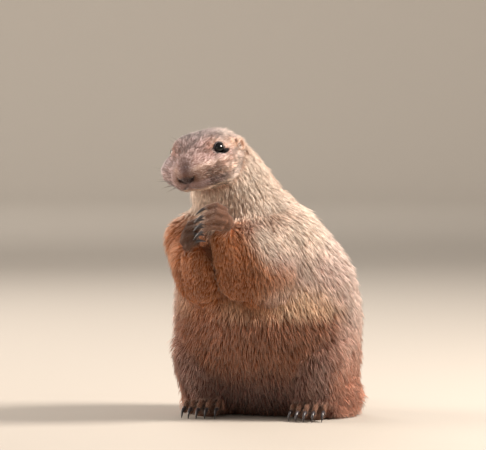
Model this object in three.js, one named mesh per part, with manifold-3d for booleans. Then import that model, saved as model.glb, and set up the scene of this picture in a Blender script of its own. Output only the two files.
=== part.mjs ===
// A black-tailed prairie dog sitting up on its haunches with its forepaws held below its mouth.
// Life size, in millimetres. +Z is up, the hips face -Y, and the animal's own left is +X.
// The surface is the outline of the coat. Every node is one closed solid, parted from its neighbours by GAP.

import * as THREE from "three";
import { mergeVertices } from "three/addons/utils/BufferGeometryUtils.js";
import Module from "manifold-3d";

const wasm = await Module();
wasm.setup();

// Driving dimensions
const GAP = 0.3;
const EYE_RADIUS = 6;
const EYE_CENTRE = { x: 17, y: -1.9, z: -1.1 };
const EYE_AXIS = { x: 0.86, y: 0.47, z: 0.16 };
const EYE_OPENING = { x: 4.9, y: 5.2 };
const LID = 0.9;
const FLOOR = 0;

const MATERIALS = {
  back: new THREE.MeshStandardMaterial({ color: 0xb5916f, roughness: 0.9, metalness: 0 }),
  belly: new THREE.MeshStandardMaterial({ color: 0xa9805c, roughness: 0.92, metalness: 0 }),
  face: new THREE.MeshStandardMaterial({ color: 0xa28a78, roughness: 0.9, metalness: 0 }),
  paw: new THREE.MeshStandardMaterial({ color: 0x8d7566, roughness: 0.8, metalness: 0 }),
  claw: new THREE.MeshStandardMaterial({ color: 0x2e2a2b, roughness: 0.35, metalness: 0 }),
  eye: new THREE.MeshStandardMaterial({ color: 0x14100f, roughness: 0.08, metalness: 0 }),
  tail_tip: new THREE.MeshStandardMaterial({ color: 0x2b211c, roughness: 0.9, metalness: 0 }),
};

// Points and frames
const at = (x, y, z) => new THREE.Vector3(x, y, z);
const mixed = (a, b, t) => a + (b - a) * t;
const radians = THREE.MathUtils.degToRad;

// The left side is side = 1 and the right side is side = -1.
const SIDES = { left: 1, right: -1 };

// The head's own frame has its origin midway between the eyes, +X to the animal's left, +Y to the nose
// and +Z out of the crown.
const HEAD_ORIGIN = at(-34.5, -77, 210.5);
const HEAD_TURN = radians(8);
const HEAD_BOW = radians(22);
const HEAD_TILT = radians(6.5);
const headFrame = new THREE.Matrix4()
  .makeTranslation(HEAD_ORIGIN.x, HEAD_ORIGIN.y, HEAD_ORIGIN.z)
  .multiply(new THREE.Matrix4().makeRotationZ(-HEAD_TURN))
  .multiply(new THREE.Matrix4().makeRotationX(HEAD_BOW))
  .multiply(new THREE.Matrix4().makeRotationY(-HEAD_TILT))
  .multiply(new THREE.Matrix4().makeBasis(at(1, 0, 0), at(0, -1, 0), at(0, 0, 1)));
const inHead = (x, y, z) => at(x, y, z).applyMatrix4(headFrame);
const headTurned = new THREE.Quaternion().setFromRotationMatrix(
  new THREE.Matrix4()
    .makeRotationZ(-HEAD_TURN)
    .multiply(new THREE.Matrix4().makeRotationX(HEAD_BOW))
    .multiply(new THREE.Matrix4().makeRotationY(-HEAD_TILT)),
);

// A field is negative inside the flesh, and near the surface it is the distance to it.
const local = at(0, 0, 0);

function ball(centre, radii, turned = new THREE.Quaternion()) {
  const back = turned.clone().invert();
  return (p) => {
    local.copy(p).sub(centre).applyQuaternion(back);
    const near = Math.hypot(local.x / radii.x, local.y / radii.y, local.z / radii.z);
    const slope = Math.hypot(local.x / radii.x ** 2, local.y / radii.y ** 2, local.z / radii.z ** 2);
    return slope < 1e-9 ? -Math.min(radii.x, radii.y, radii.z) : (near * (near - 1)) / slope;
  };
}

function limb(start, end, startRadius, endRadius) {
  const run = end.clone().sub(start);
  const square = run.lengthSq();
  return (p) => {
    local.copy(p).sub(start);
    const t = THREE.MathUtils.clamp(local.dot(run) / square, 0, 1);
    local.addScaledVector(run, -t);
    return local.length() - mixed(startRadius, endRadius, t);
  };
}

// Joins fields with a fillet about as wide as softness.
function blend(softness, ...fields) {
  return (p) =>
    fields.reduce((nearest, field) => {
      const value = field(p);
      const overlap = Math.max(softness - Math.abs(nearest - value), 0);
      return Math.min(nearest, value) - (overlap * overlap) / (4 * softness);
    }, Infinity);
}

const headBall = (x, y, z, rx, ry, rz) => ball(inHead(x, y, z), at(rx, ry, rz), headTurned);

// Head
function headField() {
  const paired = (x, y, z, rx, ry, rz) =>
    Object.values(SIDES).map((side) => headBall(x * side, y, z, rx, ry, rz));
  const skull = blend(
    9,
    headBall(0, -17, -6.2, 24, 25, 14.6),
    headBall(0, 5, -3.8, 13.5, 18, 10),
    ...paired(19, 0, -14, 13.5, 18, 12.5),
    ...paired(11.5, -6, 3, 8.5, 13, 6.5),
    ...paired(10, 9, -15.5, 7, 13, 9.5),
  );
  const muzzle = blend(
    4,
    headBall(0, 15, -10, 9, 11.5, 7.5),
    headBall(0, 22.2, -10.8, 6.8, 5.2, 5.2),
    headBall(0, 10.5, -20.5, 11, 13, 7),
    ...paired(6.8, 16.3, -16.1, 7.6, 10.3, 7.6),
  );
  return blend(7, skull, muzzle);
}

// Trunk
const NECK_BASE = at(-9, -24, 160);
const NECK_TOP = at(-22, -42, 196);

function trunkField() {
  const hips = blend(
    14,
    ball(at(0, 6, 48), at(66, 52, 50)),
    ball(at(0, 24, 26), at(54, 34, 34)),
    ball(at(0, -2, 84), at(74.5, 58, 52)),
    ball(at(-1, -22, 68), at(46, 41, 37)),
  );
  const chest = blend(
    16,
    ball(at(-1, -7, 109), at(69, 53, 42.5)),
    ball(at(-3, -14, 129), at(54.5, 50, 39)),
    ball(at(-7, -20, 149), at(38.5, 39, 25)),
    ball(at(24, -30, 137), at(23, 24, 28)),
    ball(at(-38, -29, 139), at(22, 24, 28)),
    ball(at(-20, -40, 181), at(30, 25, 24)),
    limb(NECK_BASE, NECK_TOP, 30, 23),
  );
  return blend(16, hips, chest);
}

// The coat of the left haunch spreads further over the floor.
const SKIRT = { left: 6.5, right: 0.5 };
const haunches = Object.entries(SIDES).map(([name, side]) =>
  blend(
    12,
    ball(at(45 * side, -2, 50), at(25, 44, 42)),
    ball(at(49 * side, 4, 11), at(20.5 + SKIRT[name], 38, 22)),
    ball(at(47 * side, -27, 44), at(19, 22, 34)),
  ),
);
const headOnly = headField();
const bodyField = blend(16, trunkField(), ...haunches);
const wholeField = blend(12, bodyField, headOnly);

// Arms
const ARMS = {
  left: {
    shoulder: [at(14, -42, 138), 25],
    elbow: [at(12, -62, 116), 20.5],
    point: [at(-1, -72, 111.5), 17],
    sleeve: [at(1.5, -71, 138), 19],
    wrist: [at(-8, -89, 144), 11],
  },
  right: {
    shoulder: [at(-49, -40, 138), 22.5],
    elbow: [at(-35, -61, 112), 18.5],
    point: [at(-31, -71, 108), 15.5],
    sleeve: [at(-38, -70, 127), 16.5],
    wrist: [at(-32, -88, 130), 11],
  },
};

// Nets
function solid(geometry) {
  geometry.deleteAttribute("normal");
  geometry.deleteAttribute("uv");
  const merged = mergeVertices(geometry, 1e-4);
  const made = new wasm.Manifold(
    new wasm.Mesh({
      numProp: 3,
      vertProperties: merged.attributes.position.array,
      triVerts: new Uint32Array(merged.index.array),
    }),
  );
  if (made.volume() <= 0) throw new Error("a net faces inwards");
  return made;
}

// Closes a stack of rings, each a list of points, with a pole at either end.
function closedNet(firstPole, rings, lastPole) {
  const sides = rings[0].length;
  const points = [firstPole, ...rings.flat(), lastPole];
  const last = points.length - 1;
  const faces = [];
  const corner = (ring, side) => 1 + ring * sides + (side % sides);
  for (let side = 0; side < sides; side++) {
    faces.push(0, corner(0, side + 1), corner(0, side));
    faces.push(last, corner(rings.length - 1, side), corner(rings.length - 1, side + 1));
    for (let ring = 0; ring < rings.length - 1; ring++) {
      const [a, b] = [corner(ring, side), corner(ring, side + 1)];
      const [c, d] = [corner(ring + 1, side), corner(ring + 1, side + 1)];
      const straight = points[a].distanceTo(points[d]) <= points[b].distanceTo(points[c]);
      faces.push(...(straight ? [a, b, d, a, d, c] : [a, b, c, b, d, c]));
    }
  }
  const geometry = new THREE.BufferGeometry().setFromPoints(points);
  geometry.setIndex(faces);
  return solid(geometry);
}

// Where a ray from inside a field comes out of it.
function surfacePoint(field, origin, direction, reach, grow) {
  const step = 1.2;
  const p = at(0, 0, 0);
  const value = (t) => field(p.copy(origin).addScaledVector(direction, t)) - grow;
  let far = step;
  while (far < reach && value(far) < 0) far += step;
  if (far >= reach) return origin.clone().addScaledVector(direction, reach + grow);
  let near = far - step;
  for (let i = 0; i < 14; i++) {
    const middle = (near + far) / 2;
    if (value(middle) < 0) near = middle;
    else far = middle;
  }
  return origin.clone().addScaledVector(direction, (near + far) / 2);
}

// Wraps a closed net round a field. Rays leave a straight axis: they sweep round its two ends in startRings
// and endRings steps, and stand square to it at bodyRings steps between.
function wrap(field, start, end, { startRings, bodyRings, endRings, sides, reach, grow = 0, up }) {
  const along = end.clone().sub(start).normalize();
  const across = along.clone().cross(up ?? at(0, 0, 1)).normalize();
  const over = along.clone().cross(across).normalize();
  const stations = [];
  for (let i = 1; i < startRings; i++) stations.push([0, mixed(-90, 0, i / startRings)]);
  for (let i = 0; i <= bodyRings; i++) stations.push([i / bodyRings, 0]);
  for (let i = 1; i < endRings; i++) stations.push([1, mixed(0, 90, i / endRings)]);
  const rings = stations.map(([share, sweep]) => {
    const origin = start.clone().lerp(end, share);
    return Array.from({ length: sides }, (_, i) => {
      const turn = (2 * Math.PI * i) / sides;
      const direction = across
        .clone()
        .multiplyScalar(Math.cos(turn))
        .addScaledVector(over, Math.sin(turn))
        .multiplyScalar(Math.cos(radians(sweep)))
        .addScaledVector(along, Math.sin(radians(sweep)));
      return surfacePoint(field, origin, direction, reach, grow);
    });
  });
  const first = surfacePoint(field, start, along.clone().negate(), reach, grow);
  const last = surfacePoint(field, end, along, reach, grow);
  return closedNet(first, rings, last);
}

// A round-ended tube along a smooth curve. knots is a list of [point, half width, half height].
function tube(knots, { rings, sides, grow = 0, cap = 2, up = at(0, 0, 1) }) {
  const curve = new THREE.CatmullRomCurve3(knots.map(([point]) => point));
  const size = (t, column) => {
    const place = t * (knots.length - 1);
    const before = Math.min(Math.floor(place), knots.length - 2);
    const share = THREE.MathUtils.smoothstep(place - before, 0, 1);
    return mixed(knots[before][column], knots[before + 1][column], share) + grow;
  };
  const ring = (t, shrink, push) => {
    const along = curve.getTangent(t);
    const across = along.clone().cross(up).normalize();
    const over = along.clone().cross(across).normalize();
    const centre = curve.getPoint(t).addScaledVector(along, push * size(t, 2));
    return Array.from({ length: sides }, (_, i) => {
      const turn = (2 * Math.PI * i) / sides;
      return centre
        .clone()
        .addScaledVector(across, Math.cos(turn) * size(t, 1) * shrink)
        .addScaledVector(over, Math.sin(turn) * size(t, 2) * shrink);
    });
  };
  const quarter = Array.from({ length: cap }, (_, i) => (Math.PI / 2) * ((i + 1) / (cap + 1)));
  const stack = [
    ...quarter.map((angle) => ring(0, Math.sin(angle), -Math.cos(angle))),
    ...Array.from({ length: rings + 1 }, (_, i) => ring(i / rings, 1, 0)),
    ...quarter.reverse().map((angle) => ring(1, Math.sin(angle), Math.cos(angle))),
  ];
  const tip = (t, way) => curve.getPoint(t).addScaledVector(curve.getTangent(t), way * size(t, 2));
  return closedNet(tip(0, -1), stack, tip(1, 1));
}

// Cutters
const FAR = 400;

// A block that fills the side of a plane that its normal points to.
function halfSpace(point, normal) {
  const block = new THREE.BoxGeometry(FAR, FAR, FAR);
  block.translate(0, 0, FAR / 2);
  block.applyQuaternion(new THREE.Quaternion().setFromUnitVectors(at(0, 0, 1), normal.clone().normalize()));
  block.translate(point.x, point.y, point.z);
  return solid(block);
}

// The part of a body on the side of a plane that the normal points to, half a gap clear of it.
function beyond(body, point, normal, clear = GAP / 2) {
  const way = normal.clone().normalize();
  return body.intersect(halfSpace(point.clone().addScaledVector(way, clear), way));
}

function egg(centre, radii, turned = new THREE.Quaternion(), width = 20, height = 14) {
  const sphere = new THREE.SphereGeometry(1, width, height);
  sphere.scale(radii.x, radii.y, radii.z);
  sphere.applyQuaternion(turned);
  sphere.translate(centre.x, centre.y, centre.z);
  return solid(sphere);
}

const onFloor = (body) => body.intersect(halfSpace(at(0, 0, FLOOR), at(0, 0, 1)));

function largest(body) {
  return body.decompose().sort((a, b) => b.volume() - a.volume())[0];
}

const group = new THREE.Group();
const made = new Map();

function place(name, body, material) {
  const mesh = largest(body).getMesh();
  const points = new Float32Array(mesh.numVert * 3);
  for (let i = 0; i < mesh.numVert; i++) {
    points.set(mesh.vertProperties.subarray(i * mesh.numProp, i * mesh.numProp + 3), 3 * i);
  }
  const geometry = new THREE.BufferGeometry();
  geometry.setAttribute("position", new THREE.BufferAttribute(points, 3));
  geometry.setIndex(new THREE.BufferAttribute(mesh.triVerts, 1));
  const node = new THREE.Mesh(geometry.toNonIndexed(), material);
  node.geometry.computeVertexNormals();
  node.name = name;
  group.add(node);
  made.set(name, body);
}

// Trunk and head as whole bodies
const TRUNK_AXIS = [at(0, 4, 44), at(-20, -38, 192)];
const wholeTrunk = onFloor(
  wrap(wholeField, ...TRUNK_AXIS, {
    startRings: 8, bodyRings: 17, endRings: 4, sides: 32, reach: 79, up: at(0, 1, 0),
  }),
);
const wholeHead = wrap(wholeField, inHead(0, 18, -14), inHead(0, -26, -9), {
  startRings: 7, bodyRings: 13, endRings: 3, sides: 28, reach: 42,
});

// Parting planes, each a point and the way it faces
const HEAD_PLANE = [inHead(0, 2, -31.5), inHead(0, 0.58, 0.816).sub(HEAD_ORIGIN)];
const NECK_PLANE = [at(-9, -25, 163), at(-0.2, -0.3, 0.93)];
const CHEST_PLANE = [at(0, -10, 98), at(-0.05, -0.2, 1)];
const MIDDLE_PLANE = [at(-17.5, -78, 118), at(1, 0.02, 0.12)];
const turned = ([point, way]) => [point, way.clone().negate()];

// Hind legs
const thighCutter = (side, grow) =>
  egg(at(53 * side, -9, 33), at(30, 48, 46).addScalar(grow), undefined, 14, 10);
const thighs = {};
for (const [name, side] of Object.entries(SIDES)) {
  thighs[name] = onFloor(
    wrap(wholeField, at(46 * side, 4, 44), at(48 * side, -28, 42), {
      startRings: 5, bodyRings: 3, endRings: 5, sides: 16, reach: 54,
    }),
  ).intersect(thighCutter(side, 0));
}

// Feet: each toe is a heading from straight ahead, a reach forward and a width
const TOES = [
  [-10, 45, 2.3],
  [-4, 49.5, 2.7],
  [0, 51, 2.8],
  [4, 50, 2.7],
  [10, 46, 2.4],
];
const FEET = {
  left: { heel: at(43.5, 2, 0), heading: 2 },
  right: { heel: at(-42, 2, 0), heading: 0 },
};

function hindFoot(side) {
  const { heel, heading } = FEET[side];
  const out = SIDES[side];
  const spot = (ahead, aside, height) => {
    const turn = radians(heading) * out;
    return at(
      heel.x + ahead * Math.sin(turn) + aside * out * Math.cos(turn),
      heel.y - ahead * Math.cos(turn) + aside * out * Math.sin(turn),
      height,
    );
  };
  const sole = (grow) =>
    tube(
      [[spot(-2, 0, 6), 9, 7], [spot(14, 0, 6), 11, 8], [spot(32, 0, 5.5), 12.5, 7]],
      { rings: 3, sides: 10, grow },
    );
  let foot = sole(0);
  let footRoom = sole(GAP * 2.4);
  const claws = [];
  TOES.forEach(([fan, reach, width], i) => {
    const aside = (i - 2) * 5.7;
    const lean = Math.tan(radians(fan)) * 0.45;
    const along = (ahead, height) => spot(ahead, aside + lean * (ahead - 26), height);
    const toe = (grow) =>
      tube(
        [
          [along(27, 8), width, 4.5],
          [along(reach - 10.5, 12.4), width * 0.98, 3.8],
          [along(reach - 3.2, 9.8), width * 0.92, 3.4],
          [along(reach, 5.8), width * 0.84, 3],
        ],
        { rings: 3, sides: 6, cap: 1, grow },
      );
    foot = foot.add(toe(0));
    footRoom = footRoom.add(toe(GAP * 2.4));
    const claw = (grow) =>
      tube(
        [
          [along(reach - 1.2, 7), 1.5, 1.8],
          [along(reach + 3.6, 7), 1.4, 1.7],
          [along(reach + 6, 3.8), 1, 1.25],
          [along(reach + 6.8, 0.5), 0.3, 0.4],
        ],
        { rings: 3, sides: 5, cap: 1, grow },
      );
    claws.push([onFloor(claw(0)), claw(GAP * 1.4)]);
  });
  for (const [, room] of claws) foot = foot.subtract(room);
  return { foot: onFloor(foot), footRoom, claws: claws.map(([claw]) => claw) };
}

// Arms and forepaws
const FILLET = 2.5;

function arm(side) {
  const { shoulder, elbow, point, sleeve, wrist } = ARMS[side];
  const bone = limb(shoulder[0], elbow[0], shoulder[1], elbow[1]);
  const crook = limb(elbow[0], sleeve[0], elbow[1], sleeve[1]);
  const padded = blend(12, bone, crook);
  const upper = (shape, grow) =>
    wrap(shape, shoulder[0], elbow[0], {
      startRings: 4, bodyRings: 4, endRings: 4, sides: 16, reach: 46, grow,
    });
  const bulge = mixed(point[1], wrist[1], 0.5);
  const fore = (grow) =>
    tube(
      [
        [point[0], point[1], point[1]],
        [point[0].clone().lerp(wrist[0], 0.55), bulge, bulge],
        [wrist[0], wrist[1], wrist[1]],
      ],
      { rings: 5, sides: 14, cap: 2, grow, up: shoulder[0].clone().sub(elbow[0]) },
    );
  const apart = side === "left" ? MIDDLE_PLANE : turned(MIDDLE_PLANE);
  return {
    upper: beyond(upper(blend(9, padded, bodyField), 0).intersect(upper(padded, FILLET)), ...apart)
      .subtract(fore(GAP * 1.2)),
    fore: beyond(fore(0), ...apart),
    room: upper(padded, FILLET + GAP * 1.4).add(fore(GAP * 1.6)),
  };
}

// Each finger is its knuckle, middle joint and tip, from the animal's thumb side outwards.
const HANDS = {
  left: {
    wrist: at(-8, -90, 149),
    palm: at(-5, -97, 156.5),
    fingers: [
      [at(-4, -98, 166), at(-9, -103, 169.5), at(-16, -104.5, 168)],
      [at(-2, -101, 162), at(-8, -106.5, 165), at(-16.5, -108, 162.5)],
      [at(-3, -103, 157.5), at(-9, -108.5, 159.5), at(-17, -109, 156.5)],
      [at(-6, -103, 152.5), at(-11, -107.5, 153.5), at(-17.5, -108, 150.5)],
    ],
    thumb: [at(-9, -94, 163), at(-15, -96, 163)],
    clawDrop: at(-3, 1.5, -5),
  },
  right: {
    wrist: at(-32, -87, 133),
    palm: at(-34, -92.5, 141),
    fingers: [
      [at(-36, -92, 150), at(-33.5, -95.5, 154), at(-28, -97, 157)],
      [at(-38, -95, 146), at(-35, -99, 149.5), at(-28.5, -100, 152)],
      [at(-38.5, -97, 141), at(-35, -101, 144), at(-28.5, -102, 146.5)],
      [at(-35.5, -97.5, 136), at(-32.5, -101.5, 138), at(-27, -102.5, 141)],
    ],
    thumb: [at(-31, -88, 148), at(-27, -90, 152)],
    clawDrop: at(3, 2, -3),
  },
};

function forepaw(side) {
  const { wrist, palm, fingers, thumb, clawDrop } = HANDS[side];
  const way = new THREE.Quaternion().setFromUnitVectors(at(0, 0, 1), palm.clone().sub(wrist).normalize());
  const hand = (grow) => {
    const digit = (points, radii, rings) =>
      tube(points.map((point, i) => [point, radii[i], radii[i]]), { rings, sides: 6, cap: 1, grow });
    let flesh = egg(wrist, at(7.2, 6, 9).addScalar(grow), way, 10, 6)
      .add(egg(palm, at(8, 6, 8.5).addScalar(grow), way, 10, 6))
      .add(digit([palm, ...thumb], [2.6, 2.2, 1.6], 2));
    for (const [knuckle, middle, tip] of fingers) {
      const root = palm.clone().lerp(knuckle, 0.4);
      flesh = flesh.add(digit([root, knuckle, middle, tip], [3, 3, 2.8, 2.2], 3));
    }
    return flesh;
  };
  const claws = fingers.map(([, middle, tip]) => {
    const run = tip.clone().sub(middle).normalize();
    const bend = (share, drop) => tip.clone().addScaledVector(run, share).addScaledVector(clawDrop, drop);
    return (grow) =>
      tube([[bend(-0.5, 0), 1.3, 1.5], [bend(4, 0.2), 1.1, 1.3], [bend(6.8, 0.85), 0.25, 0.3]], {
        rings: 3, sides: 5, cap: 1, grow,
      });
  });
  const paw = claws.reduce((flesh, claw) => flesh.subtract(claw(GAP * 1.3)), hand(0));
  return { paw, room: hand(GAP * 1.8), claws: claws.map((claw) => claw(0)) };
}

// Tail
const TAIL_KNOTS = [
  [at(0, 44, 17), 15, 13],
  [at(0, 64, 10), 13, 10.5],
  [at(-1, 86, 7.5), 12.5, 8.5],
  [at(-3, 106, 7), 11.5, 8],
  [at(-6, 121, 5.5), 6, 6],
];
const tailRun = (grow) => onFloor(tube(TAIL_KNOTS, { rings: 8, sides: 12, grow }));
const TAIL_PLANE = [at(-2.5, 98, 6), at(-0.1, 1, 0)];

// Face
const eyeAt = (side) => inHead(EYE_CENTRE.x * side, EYE_CENTRE.y, EYE_CENTRE.z);
const eyeWay = (side) =>
  inHead(EYE_AXIS.x * side, EYE_AXIS.y, EYE_AXIS.z).sub(HEAD_ORIGIN).normalize();
const eyeball = (side, grow) =>
  egg(eyeAt(side), at(1, 1, 1).multiplyScalar(EYE_RADIUS + grow), headTurned, 14, 9);

// A shell that hugs the eyeball, and the opening between its lids
function lids(side) {
  const way = eyeWay(side);
  const across = inHead(0, 0, 1).sub(HEAD_ORIGIN).cross(way).normalize();
  const facing = new THREE.Matrix4().makeBasis(across, way.clone().cross(across), way);
  const opening = egg(
    eyeAt(side).addScaledVector(way, EYE_RADIUS),
    at(EYE_OPENING.x, EYE_OPENING.y, EYE_RADIUS * 0.9),
    new THREE.Quaternion().setFromRotationMatrix(facing), 14, 8,
  );
  return { shell: eyeball(side, LID), opening };
}

// The point of the face that a ray from inside the muzzle comes out at, sunk by a depth
function onFace(x, y, z, sink = 0) {
  const origin = inHead(0, 6, -15);
  const direction = inHead(x, y, z).sub(origin).normalize();
  return surfacePoint(headOnly, origin, direction, 40, -sink);
}

const MOUTH = [[14, 9, -22], [11, 15.5, -23.2], [6.5, 21.5, -23], [2.5, 25, -21.8]];
const mouthPoints = (sink, drop) => {
  const half = (side) => MOUTH.map(([x, y, z]) => onFace(x * side, y, z + drop, sink));
  return [...half(1), onFace(0, 25.5, -21.2 + drop, sink), ...half(-1).reverse()];
};
const line = (points, radius, rings, sides) =>
  tube(points.map((point) => [point, radius, radius]), { rings, sides, cap: 1 });

function ear(side, grow) {
  const outer = egg(inHead(24.4 * side, -25, -8.6), at(3.2, 5, 5.8).addScalar(grow), headTurned, 10, 8);
  const cup = egg(inHead(27 * side, -23.3, -8.6), at(3.2, 3.6, 4.4), headTurned, 7, 5);
  return grow ? outer : outer.subtract(cup);
}

function face(whole) {
  let head = beyond(whole, ...HEAD_PLANE).add(line(mouthPoints(0.9, -2.4), 1.7, 8, 5));
  head = head.subtract(line(mouthPoints(0, 0), 0.75, 8, 4));
  head = head.subtract(line([onFace(0, 27, -16), onFace(0, 26.5, -18.5), onFace(0, 25.5, -21.2)], 0.6, 2, 4));
  for (const side of Object.values(SIDES)) {
    const { shell, opening } = lids(side);
    head = head.add(shell).subtract(opening).subtract(eyeball(side, GAP)).subtract(ear(side, GAP * 1.3));
    const slit = [onFace(1.8 * side, 27, -15.7), onFace(4 * side, 27, -14.2), onFace(6.4 * side, 26.6, -12.2)];
    head = head.subtract(line(slit, 0.75, 2, 4));
    head = head.subtract(egg(onFace(5.2 * side, 27, -13), at(1.6, 2.2, 1.1), headTurned, 7, 4));
  }
  return head;
}

// Placing
let torso = wholeTrunk.subtract(tailRun(GAP * 1.2)).subtract(ear(1, GAP * 1.3)).subtract(ear(-1, GAP * 1.3));
for (const [side, out] of Object.entries(SIDES)) {
  const { upper, fore, room } = arm(side);
  const { paw, room: pawRoom, claws } = forepaw(side);
  torso = torso.subtract(room).subtract(thighCutter(out, GAP * 1.3));
  place(`upper_arm_${side}`, upper, MATERIALS.belly);
  place(`forearm_${side}`, fore.subtract(pawRoom), MATERIALS.belly);
  place(`forepaw_${side}`, paw, MATERIALS.paw);
  claws.forEach((claw, i) => place(`finger_claw_${side}_${i + 1}`, claw, MATERIALS.claw));
  const { foot, footRoom, claws: toeClaws } = hindFoot(side);
  torso = torso.subtract(footRoom);
  place(`thigh_${side}`, thighs[side].subtract(footRoom), MATERIALS.back);
  place(`hind_foot_${side}`, foot, MATERIALS.paw);
  toeClaws.forEach((claw, i) => place(`toe_claw_${side}_${i + 1}`, claw, MATERIALS.claw));
  place(`eye_${side}`, eyeball(out, 0), MATERIALS.eye);
  place(`ear_${side}`, ear(out, 0), MATERIALS.face);
}
const cutTail = tailRun(0);
place("tail", beyond(cutTail, ...turned(TAIL_PLANE)), MATERIALS.back);
place("tail_tip", beyond(cutTail, ...TAIL_PLANE), MATERIALS.tail_tip);
const belowHead = beyond(torso, ...turned(HEAD_PLANE));
place("neck", beyond(belowHead, ...NECK_PLANE), MATERIALS.back);
place("chest", beyond(beyond(belowHead, ...turned(NECK_PLANE)), ...CHEST_PLANE), MATERIALS.back);
place("abdomen", beyond(torso, ...turned(CHEST_PLANE)), MATERIALS.back);
place("head", face(wholeHead), MATERIALS.face);

// The origin goes to the middle of the floor that the whole animal covers.
const extent = new THREE.Box3().setFromObject(group);
group.position.set((extent.min.x + extent.max.x) / -2, (extent.min.y + extent.max.y) / -2, 0);

export default group;
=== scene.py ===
"""A black-tailed prairie dog sitting up on its haunches, as a life-size museum model.

One skin stands in for the flesh of the frame, and a coat of solid tufts lies over it. Lengths with _MM in
their names are millimetres. The animal's own left is +X, it faces -Y, and the floor is z = 0.
"""

import math

import bpy
import numpy as np
from bpy.props import FloatProperty, FloatVectorProperty, IntProperty, PointerProperty
from bpy.types import Operator, Panel, PropertyGroup
from mathutils import Matrix, Vector
from mathutils.bvhtree import BVHTree
from mathutils.kdtree import KDTree


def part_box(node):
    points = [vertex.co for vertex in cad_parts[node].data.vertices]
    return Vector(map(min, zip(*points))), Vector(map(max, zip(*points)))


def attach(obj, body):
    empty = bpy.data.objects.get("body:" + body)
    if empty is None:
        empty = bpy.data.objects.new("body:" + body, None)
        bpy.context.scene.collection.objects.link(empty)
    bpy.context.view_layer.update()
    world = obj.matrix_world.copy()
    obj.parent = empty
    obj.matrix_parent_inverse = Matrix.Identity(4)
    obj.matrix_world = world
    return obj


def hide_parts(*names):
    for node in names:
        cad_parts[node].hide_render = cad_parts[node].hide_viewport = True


bl_info = {
    "name": "Prairie Dog",
    "version": (1, 0, 0),
    "blender": (4, 5, 0),
    "location": "3D View > Sidebar > Prairie Dog",
    "description": "Builds the skin, coat, eyes, claws and whiskers of a sitting prairie dog",
    "category": "Add Mesh",
}

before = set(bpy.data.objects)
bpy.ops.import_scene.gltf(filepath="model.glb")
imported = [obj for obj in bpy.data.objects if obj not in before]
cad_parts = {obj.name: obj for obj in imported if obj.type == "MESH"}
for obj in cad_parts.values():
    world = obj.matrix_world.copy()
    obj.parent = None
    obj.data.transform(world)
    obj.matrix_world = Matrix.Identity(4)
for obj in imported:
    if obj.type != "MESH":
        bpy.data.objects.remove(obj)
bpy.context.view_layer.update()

MM = 0.001
# Corners of the frame's triangles closer than this are one
WELD_MM = 0.02
SIDES = {"left": 1, "right": -1}

# Nodes of flesh, in the order of the masks
FLESH = (
    "abdomen", "chest", "neck", "head", "ear_left", "ear_right",
    "upper_arm_left", "upper_arm_right", "forearm_left", "forearm_right",
    "forepaw_left", "forepaw_right", "thigh_left", "thigh_right",
    "hind_foot_left", "hind_foot_right", "tail", "tail_tip",
)
FINGER_CLAWS = [f"finger_claw_{side}_{i}" for side in SIDES for i in range(1, 5)]
TOE_CLAWS = [f"toe_claw_{side}_{i}" for side in SIDES for i in range(1, 6)]


def linear(code):
    """An sRGB hex colour as linear red, green and blue."""
    values = [int(code[i : i + 2], 16) / 255 for i in (1, 3, 5)]
    return tuple(v / 12.92 if v <= 0.04045 else ((v + 0.055) / 1.055) ** 2.4 for v in values)


# Settings


def length_property(name, description, metres):
    return FloatProperty(name=name, description=description, default=metres, unit="LENGTH")


def angle_property(name, description, degrees):
    return FloatProperty(
        name=name, description=description, default=math.radians(degrees), subtype="ANGLE"
    )


def colour_property(name, description, code):
    return FloatVectorProperty(
        name=name, description=description, subtype="COLOR", size=3, min=0, max=1, default=linear(code)
    )


class PrairieDogCoat(PropertyGroup):
    """Lengths of the coat."""

    trunk_hair: length_property("Trunk hair", "Length of a lock on the back and sides", 0.0115)
    belly_hair: length_property("Belly hair", "Length of a lock on the belly", 0.0105)
    arm_hair: length_property("Arm hair", "Length of a lock on the upper arm", 0.0085)
    face_hair: length_property("Face hair", "Length of a tuft on the cheek", 0.0042)
    paw_hair: length_property("Paw hair", "Length of a tuft on a paw", 0.0022)
    tail_hair: length_property("Tail hair", "Length of a lock on the tail", 0.014)
    lock_width: length_property("Lock width", "Width of a lock on the trunk", 0.00068)
    depth: length_property("Coat depth", "Height of the tips above the skin of the trunk", 0.004)
    fullness: FloatProperty(
        name="Fullness", description="Share of the full number of tufts", default=1.0, min=0.05, max=1.5,
        subtype="FACTOR",
    )
    seed: IntProperty(name="Seed", description="Start of the random draws", default=11, min=0)


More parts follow.
